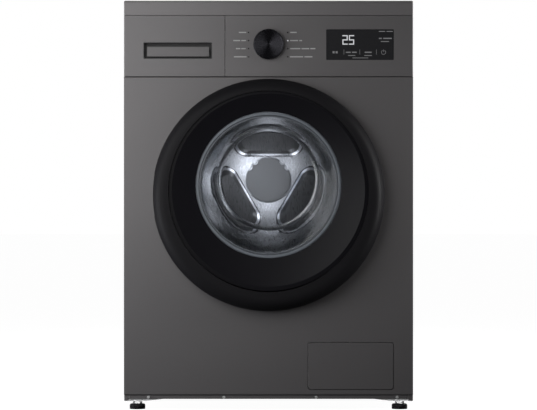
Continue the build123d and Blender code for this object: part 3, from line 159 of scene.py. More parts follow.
# Lamps of the control panel: a lens is given as radius and depth
LAMP_X = (-41.3, 40.0)
LAMP_Z = (783.9, 767.0, 750.2, 733.3)
LAMP_RADIUS = 1.45
LENS_OUTLINE = ((0.05, 0.1), (0.7, 0.15), (1.2, 0.4), (LAMP_RADIUS, 0.9), (LAMP_RADIUS, 3.0), (0.05, 3.0))
LIT_LAMP = (40.0, 767.0)

# Printed and lit bars: how far they stand out, and the gap between two as a share of a bar of length 1
PRINT_PROUD = 0.06
BAR_GAP = 0.5
# Bars beside the lamps, from the top row down: left end, right end and lengths of the bars
LABEL_HEIGHT = 2.3
LEFT_LABELS = ((-61.5, -46.3, (3,)), (-73.1, -46.9, (3, 2)), (-67.5, -47.5, (2, 2)), (-71.9, -45.7, (5,)))
RIGHT_LABELS = ((45.2, 58.3, (3,)), (44.6, 69.6, (3, 1)), (45.2, 97.2, (4, 3, 2)), (44.6, 91.0, (5, 3)))

# Display: two figures of seven segments
DIGIT_LOW = 758.6
DIGIT_HIGH = 778.2
DIGIT_WIDTH = 10.9
DIGIT_STROKE = 2.1
DIGITS = ((153.4, "2"), (166.8, "5"))
SEGMENTS = {"2": "abged", "5": "afgcd"}
# Bars on the display: left end, right end, z of the middle, lengths of the bars and their height
DISPLAY_BARS = (
    (133.0, 143.5, 742.7, (1, 1), 4.4),
    (160.5, 183.0, 742.7, (2, 2), 2.4),
    (165.0, 180.0, 736.0, (1,), 1.5),
    (199.5, 214.0, 742.7, (1,), 2.4),
    (198.5, 214.5, 736.0, (1,), 1.5),
    (229.0, 258.0, 786.0, (2, 2), 1.6),
    (229.0, 256.0, 771.5, (1, 3), 2.4),
    (233.0, 250.0, 765.0, (1,), 1.6),
    (174.0, 207.0, 731.0, (1,), 1.2),
)
DIVIDER_X = (156.5, 189.4, 223.9)
DIVIDER_HALF = 0.35
DIVIDER_LOW = 738.0
DIVIDER_HIGH = 748.5
# Power mark: an open ring and an upright bar in its gap
POWER_X = 238.7
POWER_Z = 742.7
POWER_RADIUS = 4.4
POWER_STROKE = 0.5
POWER_FROM = 120
POWER_ARC = 300
POWER_STEPS = 48
POWER_BAR = (238.2, 239.2, 743.4, 748.4)

# Soft boxes, in metres: name, place, target, width and height, watts, colour and spread in degrees
WHITE = (1.0, 1.0, 1.0)
COOL_WHITE = (0.93, 0.955, 1.0)
WIDE = 180.0
FRONT_BOXES = (
    ("key_box", (-0.75, -0.95, 0.75), (0.0, -0.2, 0.5), (1.6, 0.9), 13.4, WHITE, WIDE),
    ("left_box", (-1.2, -0.5, 0.1), (-0.3, -0.25, 0.15), (0.8, 0.6), 2.8, COOL_WHITE, 80.0),
    ("right_box", (1.2, -0.5, 0.9), (0.3, -0.25, 0.65), (0.8, 0.8), 1.8, WHITE, 80.0),
    ("ring_box", (1.1, -0.4, 0.48), (0.1, -0.25, 0.47), (0.1, 0.35), 0.42, WHITE, 45.0),
)
BACK_BOXES = (
    ("back_left_box", (-1.8, 2.0, 0.55), (0.0, 0.2, 0.45), (1.2, 1.2), 34.0, WHITE, WIDE),
    ("back_right_box", (1.8, 2.0, 0.55), (0.0, 0.2, 0.45), (1.2, 1.2), 34.0, WHITE, WIDE),
    ("top_box", (0.0, 0.6, 2.6), (0.0, 0.1, 0.8), (1.2, 0.8), 20.0, WHITE, WIDE),
)
# Low strips of light in front of the feet: x, depth and z of lamp and target, and the size in metres
GLOW_X = 250.0
GLOW_PLACE = (-3.5, 4.0)
GLOW_TARGET = (15.0, 14.5)
GLOW_SIZE = (0.09, 0.003)
GLOW_POWER = 0.012
GLOW_SPREAD = 55.0
# Lamps in the drum that face its back: direction from the drum axis in degrees, distance from it, watts
DRUM_LAMPS = (
    (38, 54.0, 0.0035),
    (142, 54.0, 0.009),
    (270, 42.0, 0.0056),
    (180, 140.0, 0.0047),
    (88, 140.0, 0.0026),
    (272, 135.0, 0.0004),
)
DRUM_LAMP_DEPTH = 112.0
DRUM_LAMP_SPREAD = 60.0
# Lamps near the drum wall that graze the slopes of the petals: direction and watts
SLOPE_LAMPS = ((90, 0.014), (210, 0.016), (330, 0.004))
SLOPE_LAMP_REACH = 190.0
SLOPE_LAMP_DEPTH = 205.0
SLOPE_LAMP_SPREAD = 80.0
SLOPE_REACH = 59.0
# Size of each lamp in the drum, in metres
SMALL_LAMP = (0.05, 0.05)

# Room: its grey, and the share of the background's white that mirrors see
ROOM = (0.04, 0.04, 0.041)
MIRROR_SHARE = 0.3
# That white fades in between two directions, given by how far they point to the back
FADE_START = -0.1
FADE_END = 0.3
# Floor: lengths in metres; mirrors and glass see its white only behind WHITE_FROM
FLOOR_REACH = 30.0
FLOOR_Z = -0.0005
FLOOR_GREY = (0.12, 0.12, 0.12)
FLOOR_GLOW = 0.97
WHITE_FROM = 0.3

# Colours and finishes that several materials share
PAINT = (0.109, 0.104, 0.106)
STEEL = (0.62, 0.63, 0.65)
FINE_PAINT = {"scale": 1100.0, "tone": 0.04, "rough": 0.05, "bump": 0.05}


# Shapes

def at(x, depth, z):
    """The point at x, a depth behind the front and a height z, in metres."""
    return Vector((x, FRONT + depth, z)) * MM


def add_mesh(name, points, faces, smooth=True):
    """A mesh object from points in metres."""
    mesh = bpy.data.meshes.new(name)
    mesh.from_pydata(points, [], faces)
    mesh.validate()
    mesh.update()
    for polygon in mesh.polygons:
        polygon.use_smooth = smooth
    thing = bpy.data.objects.new(name, mesh)
    scene.collection.objects.link(thing)
    return thing


def finish_piece(thing, material, body):
    """Gives a piece its material and its slot, and lets it move with a body."""
    thing.data.materials.append(material)
    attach(thing, body)


def turned(name, outline, place, segments):
    """A closed outline of radius and distance pairs, turned about an axis.

    place maps a radius, an angle and a distance to a point.
    """
    points = []
    for step in range(segments):
        angle = 2 * math.pi * step / segments
        points += [place(radius, angle, distance) for radius, distance in outline]
    count = len(outline)
    faces = []
    for step in range(segments):
        this, following = step * count, (step + 1) % segments * count
        for i in range(count):
            j = (i + 1) % count
            faces.append((this + i, this + j, following + j, following + i))
    return add_mesh(name, points, faces)


def lying(z, x=0.0):
    """Placing for a piece turned about a front to back axis."""
    return lambda radius, angle, depth: at(x + radius * math.cos(angle), depth, z + radius * math.sin(angle))


def upright(x, depth):
    """Placing for a piece turned about an upright axis."""
    return lambda radius, angle, z: at(x + radius * math.cos(angle), depth - radius * math.sin(angle), z)


def thick_line(line, thickness):
    """The closed outline of a bent strip that follows a line of points."""
    left, right = [], []
    for i, point in enumerate(line):
        before, after = Vector(line[max(i - 1, 0)]), Vector(line[min(i + 1, len(line) - 1)])
        along = (after - before).normalized()
        side = Vector((-along.y, along.x)) * thickness / 2
        left.append(Vector(point) + side)
        right.append(Vector(point) - side)
    return [tuple(point) for point in left + right[::-1]]


def rounded(line, steps=6):
    """A smooth line near the corners of a bent one: a quadratic curve between the middles of its runs."""
    corners = [Vector(point) for point in line]
    smooth = [corners[0]]
    for before, corner, after in zip(corners, corners[1:], corners[2:]):
        start, end = (before + corner) / 2, (corner + after) / 2
        for step in range(steps + 1):
            on = step / steps
            smooth.append((1 - on) ** 2 * start + 2 * on * (1 - on) * corner + on * on * end)
    return smooth + [corners[-1]]


def stacked_faces(rings, count):
    """Faces of a closed skin over rings of points, each with the same count."""
    faces = []
    for ring in range(rings - 1):
        for step in range(count):
            following = (step + 1) % count
            faces.append((ring * count + step, ring * count + following,
                          (ring + 1) * count + following, (ring + 1) * count + step))
    faces.append(tuple(range(count))[::-1])
    faces.append(tuple(range((rings - 1) * count, rings * count)))
    return faces


def swept(name, line, radius, around):
    """A round bar along a line of points in metres, with its radius in millimetres."""
    points = []
    side = Vector((0, 1, 0))
    for i, point in enumerate(line):
        along = (line[min(i + 1, len(line) - 1)] - line[max(i - 1, 0)]).normalized()
        side = (side - along * side.dot(along)).normalized()
        other = along.cross(side)
        for step in range(around):
            angle = 2 * math.pi * step / around
            points.append(point + (side * math.cos(angle) + other * math.sin(angle)) * radius * MM)
    return add_mesh(name, points, stacked_faces(len(line), around))


# Materials

def plain(name, colour, roughness, metallic=0.0, **settings):
    """A new material that is the same all over; returns it with its nodes, links and shader."""
    material = bpy.data.materials.new(name)
    material.use_nodes = True
    tree = material.node_tree
    shader = tree.nodes["Principled BSDF"]
    shader.inputs["Base Color"].default_value = (*colour, 1.0)
    shader.inputs["Roughness"].default_value = roughness
    shader.inputs["Metallic"].default_value = metallic
    for socket, value in settings.items():
        shader.inputs[socket.replace("_", " ")].default_value = value
    return material, tree.nodes, tree.links, shader


def axes(nodes, links, kind="Object"):
    """The X, Y and Z of a place on the object, or of a direction in the room."""
    place = nodes.new("ShaderNodeTexCoord")
    parts = nodes.new("ShaderNodeSeparateXYZ")
    links.new(place.outputs[kind], parts.inputs["Vector"])
    return parts.outputs


def noise(nodes, links, scale, stretch=(1.0, 1.0, 1.0), detail=4.0):
    """A noise pattern fixed to the object, stretched along some axes."""
    place = nodes.new("ShaderNodeTexCoord")
    mapping = nodes.new("ShaderNodeMapping")
    mapping.inputs["Scale"].default_value = stretch
    pattern = nodes.new("ShaderNodeTexNoise")
    pattern.inputs["Scale"].default_value = scale
    pattern.inputs["Detail"].default_value = detail
    links.new(place.outputs["Object"], mapping.inputs["Vector"])
    links.new(mapping.outputs["Vector"], pattern.inputs["Vector"])
    return pattern.outputs["Fac"]


def math_node(nodes, links, operation, first, second):
    """One step of arithmetic between sockets or numbers."""
    step = nodes.new("ShaderNodeMath")
    step.operation = operation
    for socket, value in zip(step.inputs, (first, second)):
        if isinstance(value, (int, float)):
            socket.default_value = value
        else:
            links.new(value, socket)
    return step.outputs["Value"]


def sum_of_squares(nodes, links, first, second):
    """The squares of two values, added up."""
    squares = [math_node(nodes, links, "POWER", value, 2.0) for value in (first, second)]
    return math_node(nodes, links, "ADD", *squares)


def ramp(nodes, links, source, stops):
    """A colour ramp on a value."""
    blend = nodes.new("ShaderNodeValToRGB")
    while len(blend.color_ramp.elements) < len(stops):
        blend.color_ramp.elements.new(0.5)
    for element, (position, colour) in zip(blend.color_ramp.elements, stops):
        element.position = position
        element.color = (*colour, 1.0)
    links.new(source, blend.inputs["Fac"])
    return blend.outputs["Color"]


def value_range(nodes, links, source, low, high, start=0.3, end=0.7):
    """A value that runs from start to end, turned into one that runs from low to high."""
    span = nodes.new("ShaderNodeMapRange")
    span.inputs["From Min"].default_value = start
    span.inputs["From Max"].default_value = end
    span.inputs["To Min"].default_value = low
    span.inputs["To Max"].default_value = high
    links.new(source, span.inputs["Value"])
    return span.outputs["Result"]


def relief(nodes, links, shader, source, strength, distance):
    """A bump from a pattern, with its distance in millimetres."""
    bump = nodes.new("ShaderNodeBump")
    bump.inputs["Strength"].default_value = strength
    bump.inputs["Distance"].default_value = distance * MM
    links.new(source, bump.inputs["Height"])
    links.new(bump.outputs["Normal"], shader.inputs["Normal"])


def tinted(colour, share):
    """A colour made lighter or darker by a share."""
    return tuple(min(1.0, part * (1 + share)) for part in colour)


def grained(name, colour, roughness, metallic=0.0, scale=300.0, stretch=(1.0, 1.0, 1.0), tone=0.08,
            rough=0.06, bump=0.1, height=0.05, **settings):
    """A material whose colour, roughness and relief follow one fine pattern."""
    material, nodes, links, shader = plain(name, colour, roughness, metallic, **settings)
    pattern = noise(nodes, links, scale, stretch)
    tones = ramp(nodes, links, pattern, ((0.3, tinted(colour, -tone)), (0.7, tinted(colour, tone))))
    links.new(tones, shader.inputs["Base Color"])
    shine = value_range(nodes, links, pattern, roughness - rough, roughness + rough)
    links.new(shine, shader.inputs["Roughness"])
    relief(nodes, links, shader, pattern, bump, height)
    return material


def drum_back_steel(name):
    """Steel with fine upright brushing; each petal has a painted shade line, a painted highlight along its
    slope and a floor painted darker and duller as shade.
    """
    material, nodes, links, shader = plain(name, STEEL, 0.2, 1.0)
    # face is the steel's own tone; line is a painted shade line where the slope starts, edge a painted
    # highlight on the slope, floor painted shade in the petal's hollow
    face, line, edge, floor = (0.3, 0.305, 0.315), (0.1, 0.1, 0.105), (0.6, 0.61, 0.64), (0.098, 0.098, 0.101)
    bright, dull = (1.0, 1.0, 1.0), (0.3, 0.3, 0.3)
    top, bottom = (FRONT + PETAL_DEPTH) * MM, (FRONT + PETAL_DEPTH + PETAL_DEEP) * MM
    depth = value_range(nodes, links, axes(nodes, links)["Y"], low=0.0, high=1.0, start=top, end=bottom)
    tones = ((0.0, face), (0.03, face), (0.05, line), (0.16, line), (0.22, edge), (0.42, edge), (0.52, floor))
    links.new(ramp(nodes, links, depth, tones), shader.inputs["Base Color"])
    # the floor is also painted less metallic, as part of its painted shade
    links.new(ramp(nodes, links, depth, ((0.42, bright), (0.52, dull))), shader.inputs["Metallic"])
    brush = noise(nodes, links, scale=120.0, stretch=(8.0, 1.0, 1.0))
    links.new(value_range(nodes, links, brush, low=0.25, high=0.33), shader.inputs["Roughness"])
    relief(nodes, links, shader, brush, strength=0.05, distance=0.05)
    return material


def perforated_steel(name):
    """Rolled steel with a staggered grid of small holes, each painted as a near-black spot of shade."""
    # the holes are painted near black, as the shade seen through them
    steel, hole_shade = (0.34, 0.37, 0.41), (0.012, 0.012, 0.013)
    material, nodes, links, shader = plain(name, steel, 0.25, 1.0)
    place = axes(nodes, links)
    height = math_node(nodes, links, "SUBTRACT", place["Z"], DRUM_Z * MM)
    angle = math_node(nodes, links, "ARCTAN2", height, place["X"])
    round_way = math_node(nodes, links, "MULTIPLY", angle, HOLES_ROUND / (2 * math.pi))
    depth_way = math_node(nodes, links, "MULTIPLY", place["Y"], 1 / (HOLE_PITCH * MM))
    waves = [math_node(nodes, links, slant, round_way, depth_way) for slant in ("ADD", "SUBTRACT")]
    steps = [math_node(nodes, links, "PINGPONG", wave, 0.5) for wave in waves]
    off_hole = sum_of_squares(nodes, links, *steps)
    links.new(ramp(nodes, links, off_hole, ((0.012, hole_shade), (0.03, steel))), shader.inputs["Base Color"])
    relief(nodes, links, shader, off_hole, strength=0.3, distance=0.8)
    return material


def dial_finish(name):
    """Dark turned metal that shines in two fans, across its fine rings."""
    material, nodes, links, shader = plain(name, (0.021, 0.0205, 0.0245), 0.26, 0.85,
                                           Anisotropic=0.95, Anisotropic_Rotation=0.25)
    tangent = nodes.new("ShaderNodeTangent")
    tangent.direction_type = "RADIAL"
    tangent.axis = "Y"
    links.new(tangent.outputs["Tangent"], shader.inputs["Tangent"])
    pattern = noise(nodes, links, scale=400.0)
    links.new(value_range(nodes, links, pattern, low=0.22, high=0.3), shader.inputs["Roughness"])
    return material


def clear_glass(name):
    """Thick clear glass with a faint cool tint, wavy on the side of the bowl."""
    tint = (0.915, 0.94, 0.985)
    material, nodes, links, shader = plain(name, tint, 0.0, IOR=1.5, Transmission_Weight=1.0)
    pattern = noise(nodes, links, scale=14.0, detail=1.0)
    links.new(value_range(nodes, links, pattern, low=0.0, high=0.02), shader.inputs["Roughness"])
    side = math_node(nodes, links, "LESS_THAN", axes(nodes, links)["Y"], (FRONT + BOWL_END) * MM)
    waves = noise(nodes, links, scale=12.0, stretch=(1.0, 1.5, 1.0), detail=0.5)
    side_waves = math_node(nodes, links, "MULTIPLY", side, waves)
    relief(nodes, links, shader, side_waves, strength=0.4, distance=4.0)
    return material


def rim_finish(name):
    """Satin trim in three rings: a grey bead inside, a groove painted dark as shade, and a paler band
    outside.
    """
    # the groove's dark tone is painted shade in the groove
    bead, groove, band = (0.11, 0.12, 0.135), (0.05, 0.055, 0.062), (0.14, 0.155, 0.175)
    material, nodes, links, shader = plain(name, band, 0.3, Specular_IOR_Level=0.2)
    place = axes(nodes, links)
    height = math_node(nodes, links, "SUBTRACT", place["Z"], GLASS_Z * MM)
    radius = math_node(nodes, links, "SQRT", sum_of_squares(nodes, links, place["X"], height), 0.0)
    reach = value_range(nodes, links, radius, low=0.0, high=1.0, start=RIM_INNER * MM, end=RIM_OUTER * MM)
    stops = ((0.2, bead), (0.23, groove), (0.41, groove), (0.45, band))
    links.new(ramp(nodes, links, reach, stops), shader.inputs["Base Color"])
    pattern = noise(nodes, links, scale=40.0)
    links.new(value_range(nodes, links, pattern, low=0.22, high=0.38), shader.inputs["Roughness"])
    return material


def lit_print(name, colour, strength):
    """Lit print on the display window."""
    material, nodes, links, shader = plain(name, tinted(colour, -0.8), 0.5, Emission_Strength=strength)
    shader.inputs["Emission Color"].default_value = (*colour, 1.0)
    pattern = noise(nodes, links, scale=900.0)
    links.new(value_range(nodes, links, pattern, low=0.45, high=0.55), shader.inputs["Roughness"])
    return material


# Painted steel and painted plastic
paint = grained("panel_paint", PAINT, 0.42, 0.35, scale=900.0, tone=0.05, rough=0.05, bump=0.06, height=0.03)
console = grained("console_paint", PAINT, 0.4, 0.3, height=0.03, **FINE_PAINT)
# The grip is the panel's paint made darker: painted shade of its recess.
grip_paint_shaded = grained("grip_paint_shaded", tinted(PAINT, -0.12), 0.4, 0.3, **FINE_PAINT)
# The lid is the panel's paint made lighter: painted light on the top strip.
lid_paint_lit = grained("lid_paint_lit", tinted(PAINT, 0.22), 0.42, 0.3, **FINE_PAINT)
# The drawer cup's dark grey is partly its own colour and partly painted shade of the pull recess.
cup_grey_shade = grained("cup_grey_shade", (0.024, 0.023, 0.024), 0.5, scale=1100.0, tone=0.06, rough=0.05, bump=0.06)

# Black plastic and glass
black_satin = grained("black_satin", (0.0085, 0.0081, 0.0092), 0.5, scale=1500.0, tone=0.1, rough=0.05,
                      bump=0.06, Specular_IOR_Level=0.08)
black_gloss = grained("black_gloss", (0.0056, 0.0053, 0.0068), 0.36, scale=500.0, rough=0.02, bump=0.01,
                      Specular_IOR_Level=0.1)
window_pane = grained("dark_window", (0.018, 0.018, 0.0195), 0.2, tone=0.06, rough=0.03, bump=0.0,
                      Specular_IOR_Level=0.3)
lamp_dark = grained("lamp_dark", (0.006, 0.006, 0.006), 0.2, scale=900.0, tone=0.1, bump=0.0)
glass = clear_glass("door_glass")

# Bare metal
galvanised = grained("galvanised_steel", (0.5, 0.51, 0.52), 0.4, 0.9, scale=90.0, tone=0.14, rough=0.1,
                     bump=0.05)
pan_zinc = grained("pan_zinc", (0.5, 0.5, 0.505), 0.5, 0.2, scale=120.0, tone=0.12, bump=0.05)
nut_zinc = grained("nut_zinc", (0.25, 0.25, 0.25), 0.4, 0.2, bump=0.05)
screw_zinc = grained("screw_zinc", (0.5, 0.5, 0.5), 0.4, 0.2, bump=0.05)
zinc = grained("zinc_steel", (0.55, 0.55, 0.56), 0.32, 0.95, scale=400.0, tone=0.1, rough=0.08, bump=0.05)
cast = grained("cast_aluminium", (0.5, 0.5, 0.51), 0.5, 0.9, scale=700.0, tone=0.1, rough=0.08, bump=0.3)
iron = grained("cast_iron", (0.14, 0.14, 0.14), 0.65, 0.4, scale=350.0, tone=0.15, rough=0.1, bump=0.5,
               height=0.2)
copper = grained("wound_copper", (0.45, 0.18, 0.07), 0.35, 0.9, scale=60.0, stretch=(1.0, 30.0, 1.0),
                 bump=0.4)
bright_steel = grained("drum_steel", STEEL, 0.22, 1.0, scale=160.0, stretch=(1.0, 8.0, 1.0), bump=0.04)
back_steel = drum_back_steel("drum_back_steel")
holed_steel = perforated_steel("perforated_steel")
dial_metal = dial_finish("dial_metal")

# Plastic, rubber and print
cap_grey = grained("cap_grey", (0.285, 0.285, 0.29), 0.5, 0.4, scale=260.0, stretch=(6.0, 1.0, 1.0),
                   tone=0.05)
rim_grey = rim_finish("rim_grey")
rubber = grained("grey_rubber", (0.12, 0.12, 0.125), 0.6, scale=800.0, tone=0.1, rough=0.08, bump=0.15)
dark_rubber = grained("dark_rubber", (0.02, 0.02, 0.02), 0.55, scale=800.0, tone=0.12, rough=0.08, bump=0.15)
tub_plastic = grained("tub_plastic", (0.5, 0.51, 0.52), 0.5, scale=1200.0, tone=0.04)
white_plastic = grained("white_plastic", (0.72, 0.73, 0.74), 0.42, scale=1200.0, tone=0.03, bump=0.08)
lifter_plastic = grained("lifter_plastic", (0.3, 0.31, 0.33), 0.4, scale=1200.0, tone=0.05, bump=0.08)
print_grey = grained("print_grey", (0.34, 0.34, 0.34), 0.55, scale=900.0, tone=0.05, bump=0.0)
lit_white = lit_print("lit_white", (0.95, 0.96, 1.0), strength=0.5)
lit_soft = lit_print("lit_soft", (0.3, 0.3, 0.31), strength=0.35)

NODE_MATERIALS = (
    (paint, "left_side_panel right_side_panel front_panel drain_hatch"),
    (console, "control_panel drawer_front"),
    (grip_paint_shaded, "drawer_grip"),
    (cup_grey_shade, "drawer_cup"),
    (lid_paint_lit, "top_cover"),
    (window_pane, "display_window"),
    (galvanised, "rear_panel rear_service_cover top_rails"),
    (pan_zinc, "base_pan"),
    (nut_zinc, "foot_lock_nuts"),
    (screw_zinc, "cabinet_screws"),
    (white_plastic, "main_board_case dispenser_housing drawer_tray inlet_valve"),
    (black_satin, "door_lock cord_gland transit_caps door_frame door_back_frame pump_filter hatch_frame"),
    (black_satin, "front_left_foot front_right_foot rear_left_foot rear_right_foot"),
    (black_gloss, "door_dish"),
    (glass, "door_glass"),
    (cast, "hinge_bracket hinge_leaf drum_spider"),
    (zinc, "hinge_pin gasket_clamp drum_bearings heater door_hook"),
    (zinc, "damper_rods damper_cylinders"),
    (tub_plastic, "drain_pump tub_front tub_rear"),
    (iron, "counterweights"),
    (copper, "stator"),
    (bright_steel, "drum_front drum_shaft rotor"),
    (back_steel, "drum_back"),
    (holed_steel, "drum_wrapper"),
    (lifter_plastic, "drum_lifters"),
    (dial_metal, "dial_knob"),
)


def dress_nodes():
    """Puts the materials on the machine's own solids."""
    for material, names in NODE_MATERIALS:
        for name in names.split():
            mesh = solids[name].data
            mesh.materials.clear()
            mesh.materials.append(material)


# Gasket, springs and hoses

def bellows(name, line):
    """A ring of bent rubber in the door opening."""
    ring = turned(name, thick_line(rounded(line), GASKET_THICKNESS), lying(OPENING_Z), segments=128)
    ring.data.materials.append(rubber)
    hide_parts("door_gasket")
    return ring


def add_gasket():
    """The rubber between the cabinet and the tub: a lip on the cabinet, and the folds."""
    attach(bellows("gasket_lip", GASKET_LIP), "cabinet")
    folds = bellows("gasket_folds", GASKET_FOLDS)
    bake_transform(folds)


def spring_line(side):
    """The line of a suspension spring: a hook, the coil and the other hook."""
    low = at(side * SPRING_LUG[0], SPRING_DEPTH, SPRING_LUG[1])
    high = at(side * SPRING_TOP[0], SPRING_DEPTH, SPRING_TOP[1])
    along = (high - low).normalized()
    across = along.cross(Vector((0, 1, 0))).normalized()
    deep = along.cross(across)
    length = (high - low).length / MM
    line = [low - along * SPRING_PAST_LUG * MM, low + along * SPRING_STRAIGHT * MM]
    steps = SPRING_TURNS * SPRING_TURN_STEPS
    for step in range(steps + 1):
        angle = 2 * math.pi * SPRING_TURNS * step / steps
        rise = SPRING_HOOK + (length - 2 * SPRING_HOOK) * step / steps
        swing = (across * math.cos(angle) + deep * math.sin(angle)) * SPRING_COIL
        line.append(low + (along * rise + swing) * MM)
    return line + [high - along * SPRING_STRAIGHT * MM, high + along * SPRING_PAST_LUG * MM]


def add_springs():
    """The two suspension springs, stretched between the cabinet and the tub."""
    for side, name in ((-1, "spring_left"), (1, "spring_right")):
        spring = swept(name, spring_line(side), SPRING_WIRE, around=10)
        spring.data.materials.append(zinc)
        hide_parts("suspension_springs")
        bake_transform(spring)


def ribbed_outline(outer, bore, low, high, ribs):
    """The outline of a hose with plain cuffs and round ribs between them."""
    outline = [(bore, low), (outer, low)]
    start, end = low + (high - low) * RIBS_FROM, low + (high - low) * RIBS_TO
    steps = ribs * RIB_STEPS
    for step in range(steps + 1):
        swell = RIB_HEIGHT / 2 * (1.0 - math.cos(2 * math.pi * ribs * step / steps))
        outline.append((outer + swell, start + (end - start) * step / steps))
    return outline + [(outer, high), (bore, high)]


def add_tub_hoses():
    """The fill hose and the sump hose, between the cabinet and the tub."""
    fill = turned("fill_hose", ribbed_outline(*FILL_HOSE), upright(*FILL_PLACE), segments=48)
    sump = turned("sump_hose", ribbed_outline(*SUMP_HOSE), upright(*SUMP_PLACE), segments=48)
    for hose, (start, end) in ((fill, FILL_STRETCH), (sump, SUMP_STRETCH)):
        hose.data.materials.append(dark_rubber)
        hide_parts("tub_hoses")
        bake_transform(hose)


def add_inlet_hose():
    """The ribbed hose from the inlet valve to the dispenser."""
    x, z = INLET_PLACE
    hose = turned("inlet_hose_ribbed", ribbed_outline(*INLET_HOSE), lying(z, x), segments=40)
    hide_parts("inlet_hose")
    finish_piece(hose, dark_rubber, "cabinet")


def add_drain_hose():
    """The drain hose from the pump to the cuff in the rear panel."""
    line = [at(x, depth, DRAIN_Z) for x, depth in rounded(DRAIN_BEND, steps=12)]
    start = DRAIN_BEND[-1][1]
    for step in range(1, DRAIN_RUN_STEPS + 1):
        line.append(at(DRAIN_X, start + (DRAIN_CUFF - start) * step / DRAIN_RUN_STEPS, DRAIN_Z))
    run = swept("drain_hose_run", line, DRAIN_RADIUS, around=24)
    cuff = turned("drain_hose_cuff", DRAIN_CUFF_OUTLINE, lying(DRAIN_Z, DRAIN_X), segments=40)
    for hose in (run, cuff):
        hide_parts("drain_hose")
        finish_piece(hose, dark_rubber, "cabinet")


# Trim, print and display

def add_glass_rim():
    """The trim ring on the front edge of the door glass: an inner bead, a groove and an outer band."""
    rim = turned("glass_rim", RIM_OUTLINE, lying(GLASS_Z), segments=160)
    finish_piece(rim, rim_grey, "door")


def notched_radius(angle):
    """The radius of the cap on the drum back in one direction, less where a notch cuts into it."""
    reach = DISC_RADIUS
    for middle in NOTCH_ANGLES:
        turn = angle - math.radians(middle)
        across = NOTCH_REACH * math.sin(turn)
        if math.cos(turn) > 0 and abs(across) < NOTCH_RADIUS:
            reach = min(reach, NOTCH_REACH * math.cos(turn) - math.sqrt(NOTCH_RADIUS ** 2 - across ** 2))
    return reach


def add_drum_cap():
    """The thin grey cap on the middle disc of the drum back."""
    points = []
    for share, proud in CAP_CROWN:
        for step in range(CAP_STEPS):
            angle = 2 * math.pi * step / CAP_STEPS
            reach = notched_radius(angle) * share
            depth = DISC_DEPTH - CAP_PROUD * proud
            points.append(at(reach * math.cos(angle), depth, DRUM_Z + reach * math.sin(angle)))
    cap = add_mesh("drum_cap", points, stacked_faces(len(CAP_CROWN), CAP_STEPS))
    finish_piece(cap, cap_grey, "drum")


def plates(name, boxes, depth, material):
    """Thin printed or lit bars on the cabinet: each box is left, right, bottom and top."""
    points, faces = [], []
    for x0, x1, z0, z1 in boxes:
        first = len(points)
        for level in (depth, depth - PRINT_PROUD):
            points += [at(x0, level, z0), at(x1, level, z0), at(x1, level, z1), at(x0, level, z1)]
        faces.append((first + 4, first + 5, first + 6, first + 7))
        for i in range(4):
            j = (i + 1) % 4
            faces.append((first + i, first + j, first + 4 + j, first + 4 + i))
    thing = add_mesh(name, points, faces, smooth=False)
    finish_piece(thing, material, "cabinet")


def bar_row(x0, x1, z, lengths, height):
    """A row of bars with the given lengths and small gaps, fitted to a span."""
    unit = (x1 - x0) / (sum(lengths) + BAR_GAP * (len(lengths) - 1))
    bars = []
    x = x0
    for length in lengths:
        bars.append((x, x + length * unit, z - height / 2, z + height / 2))
        x += (length + BAR_GAP) * unit
    return bars


def add_labels():
    """Plain printed bars beside the lamps."""
    bars = []
    for rows in (LEFT_LABELS, RIGHT_LABELS):
        for z, (x0, x1, lengths) in zip(LAMP_Z, rows):
            bars += bar_row(x0, x1, z, lengths, LABEL_HEIGHT)
    plates("programme_labels", bars, 0.0, print_grey)


def add_console_lamps():
    """A small domed lens in each lamp hole; one is lit."""
    for x in LAMP_X:
        side = "left" if x < 0 else "right"
        for row, z in enumerate(LAMP_Z):
            lens = turned(f"lamp_{side}_{row + 1}", LENS_OUTLINE, lying(z, x), segments=24)
            lit = (x, z) == LIT_LAMP
            finish_piece(lens, lit_white if lit else lamp_dark, "cabinet")


def digit_bars(x0, figure):
    """The bars of one figure of seven segments."""
    x1 = x0 + DIGIT_WIDTH
    low, high = DIGIT_LOW, DIGIT_HIGH
    middle = (low + high) / 2
    wide = DIGIT_STROKE
    bars = {
        "a": (x0, x1, high - wide, high),
        "g": (x0, x1, middle - wide / 2, middle + wide / 2),
        "d": (x0, x1, low, low + wide),
        "b": (x1 - wide, x1, middle, high),
        "c": (x1 - wide, x1, low, middle),
        "f": (x0, x0 + wide, middle, high),
        "e": (x0, x0 + wide, low, middle),
    }
    return [bars[segment] for segment in SEGMENTS[figure]]


def add_power_mark():
    """The open ring and the bar of the power mark."""
    ring = []
    for step in range(POWER_STEPS + 1):
        angle = math.radians(POWER_FROM + POWER_ARC * step / POWER_STEPS)
        across, up = POWER_RADIUS * math.cos(angle), POWER_RADIUS * math.sin(angle)
        ring.append(at(POWER_X + across, PANE_DEPTH, POWER_Z + up))
    open_ring = swept("power_mark", ring, POWER_STROKE, around=8)
    finish_piece(open_ring, lit_soft, "cabinet")
    plates("power_bar", [POWER_BAR], PANE_DEPTH, lit_soft)


def add_display():
    """Lit figures and touch marks on the dark window."""
    figures = []
    for x, figure in DIGITS:
        figures += digit_bars(x, figure)
    plates("display_figures", figures, PANE_DEPTH, lit_white)
    marks = []
    for row in DISPLAY_BARS:
        marks += bar_row(*row)
    marks += [(x - DIVIDER_HALF, x + DIVIDER_HALF, DIVIDER_LOW, DIVIDER_HIGH) for x in DIVIDER_X]
    plates("display_marks", marks, PANE_DEPTH, lit_soft)
    add_power_mark()


# Stage: camera, lamps, background and floor

def add_camera():
    """A level camera straight in front of the machine."""
    data = bpy.data.cameras.new("camera")
    data.lens = CAMERA_LENS
    data.sensor_width = CAMERA_SENSOR
    camera = bpy.data.objects.new("camera", data)
    camera.location = at(0, -CAMERA_DISTANCE, CAMERA_HEIGHT)
    camera.rotation_euler = (math.radians(90), 0, 0)
    scene.collection.objects.link(camera)
    scene.camera = camera


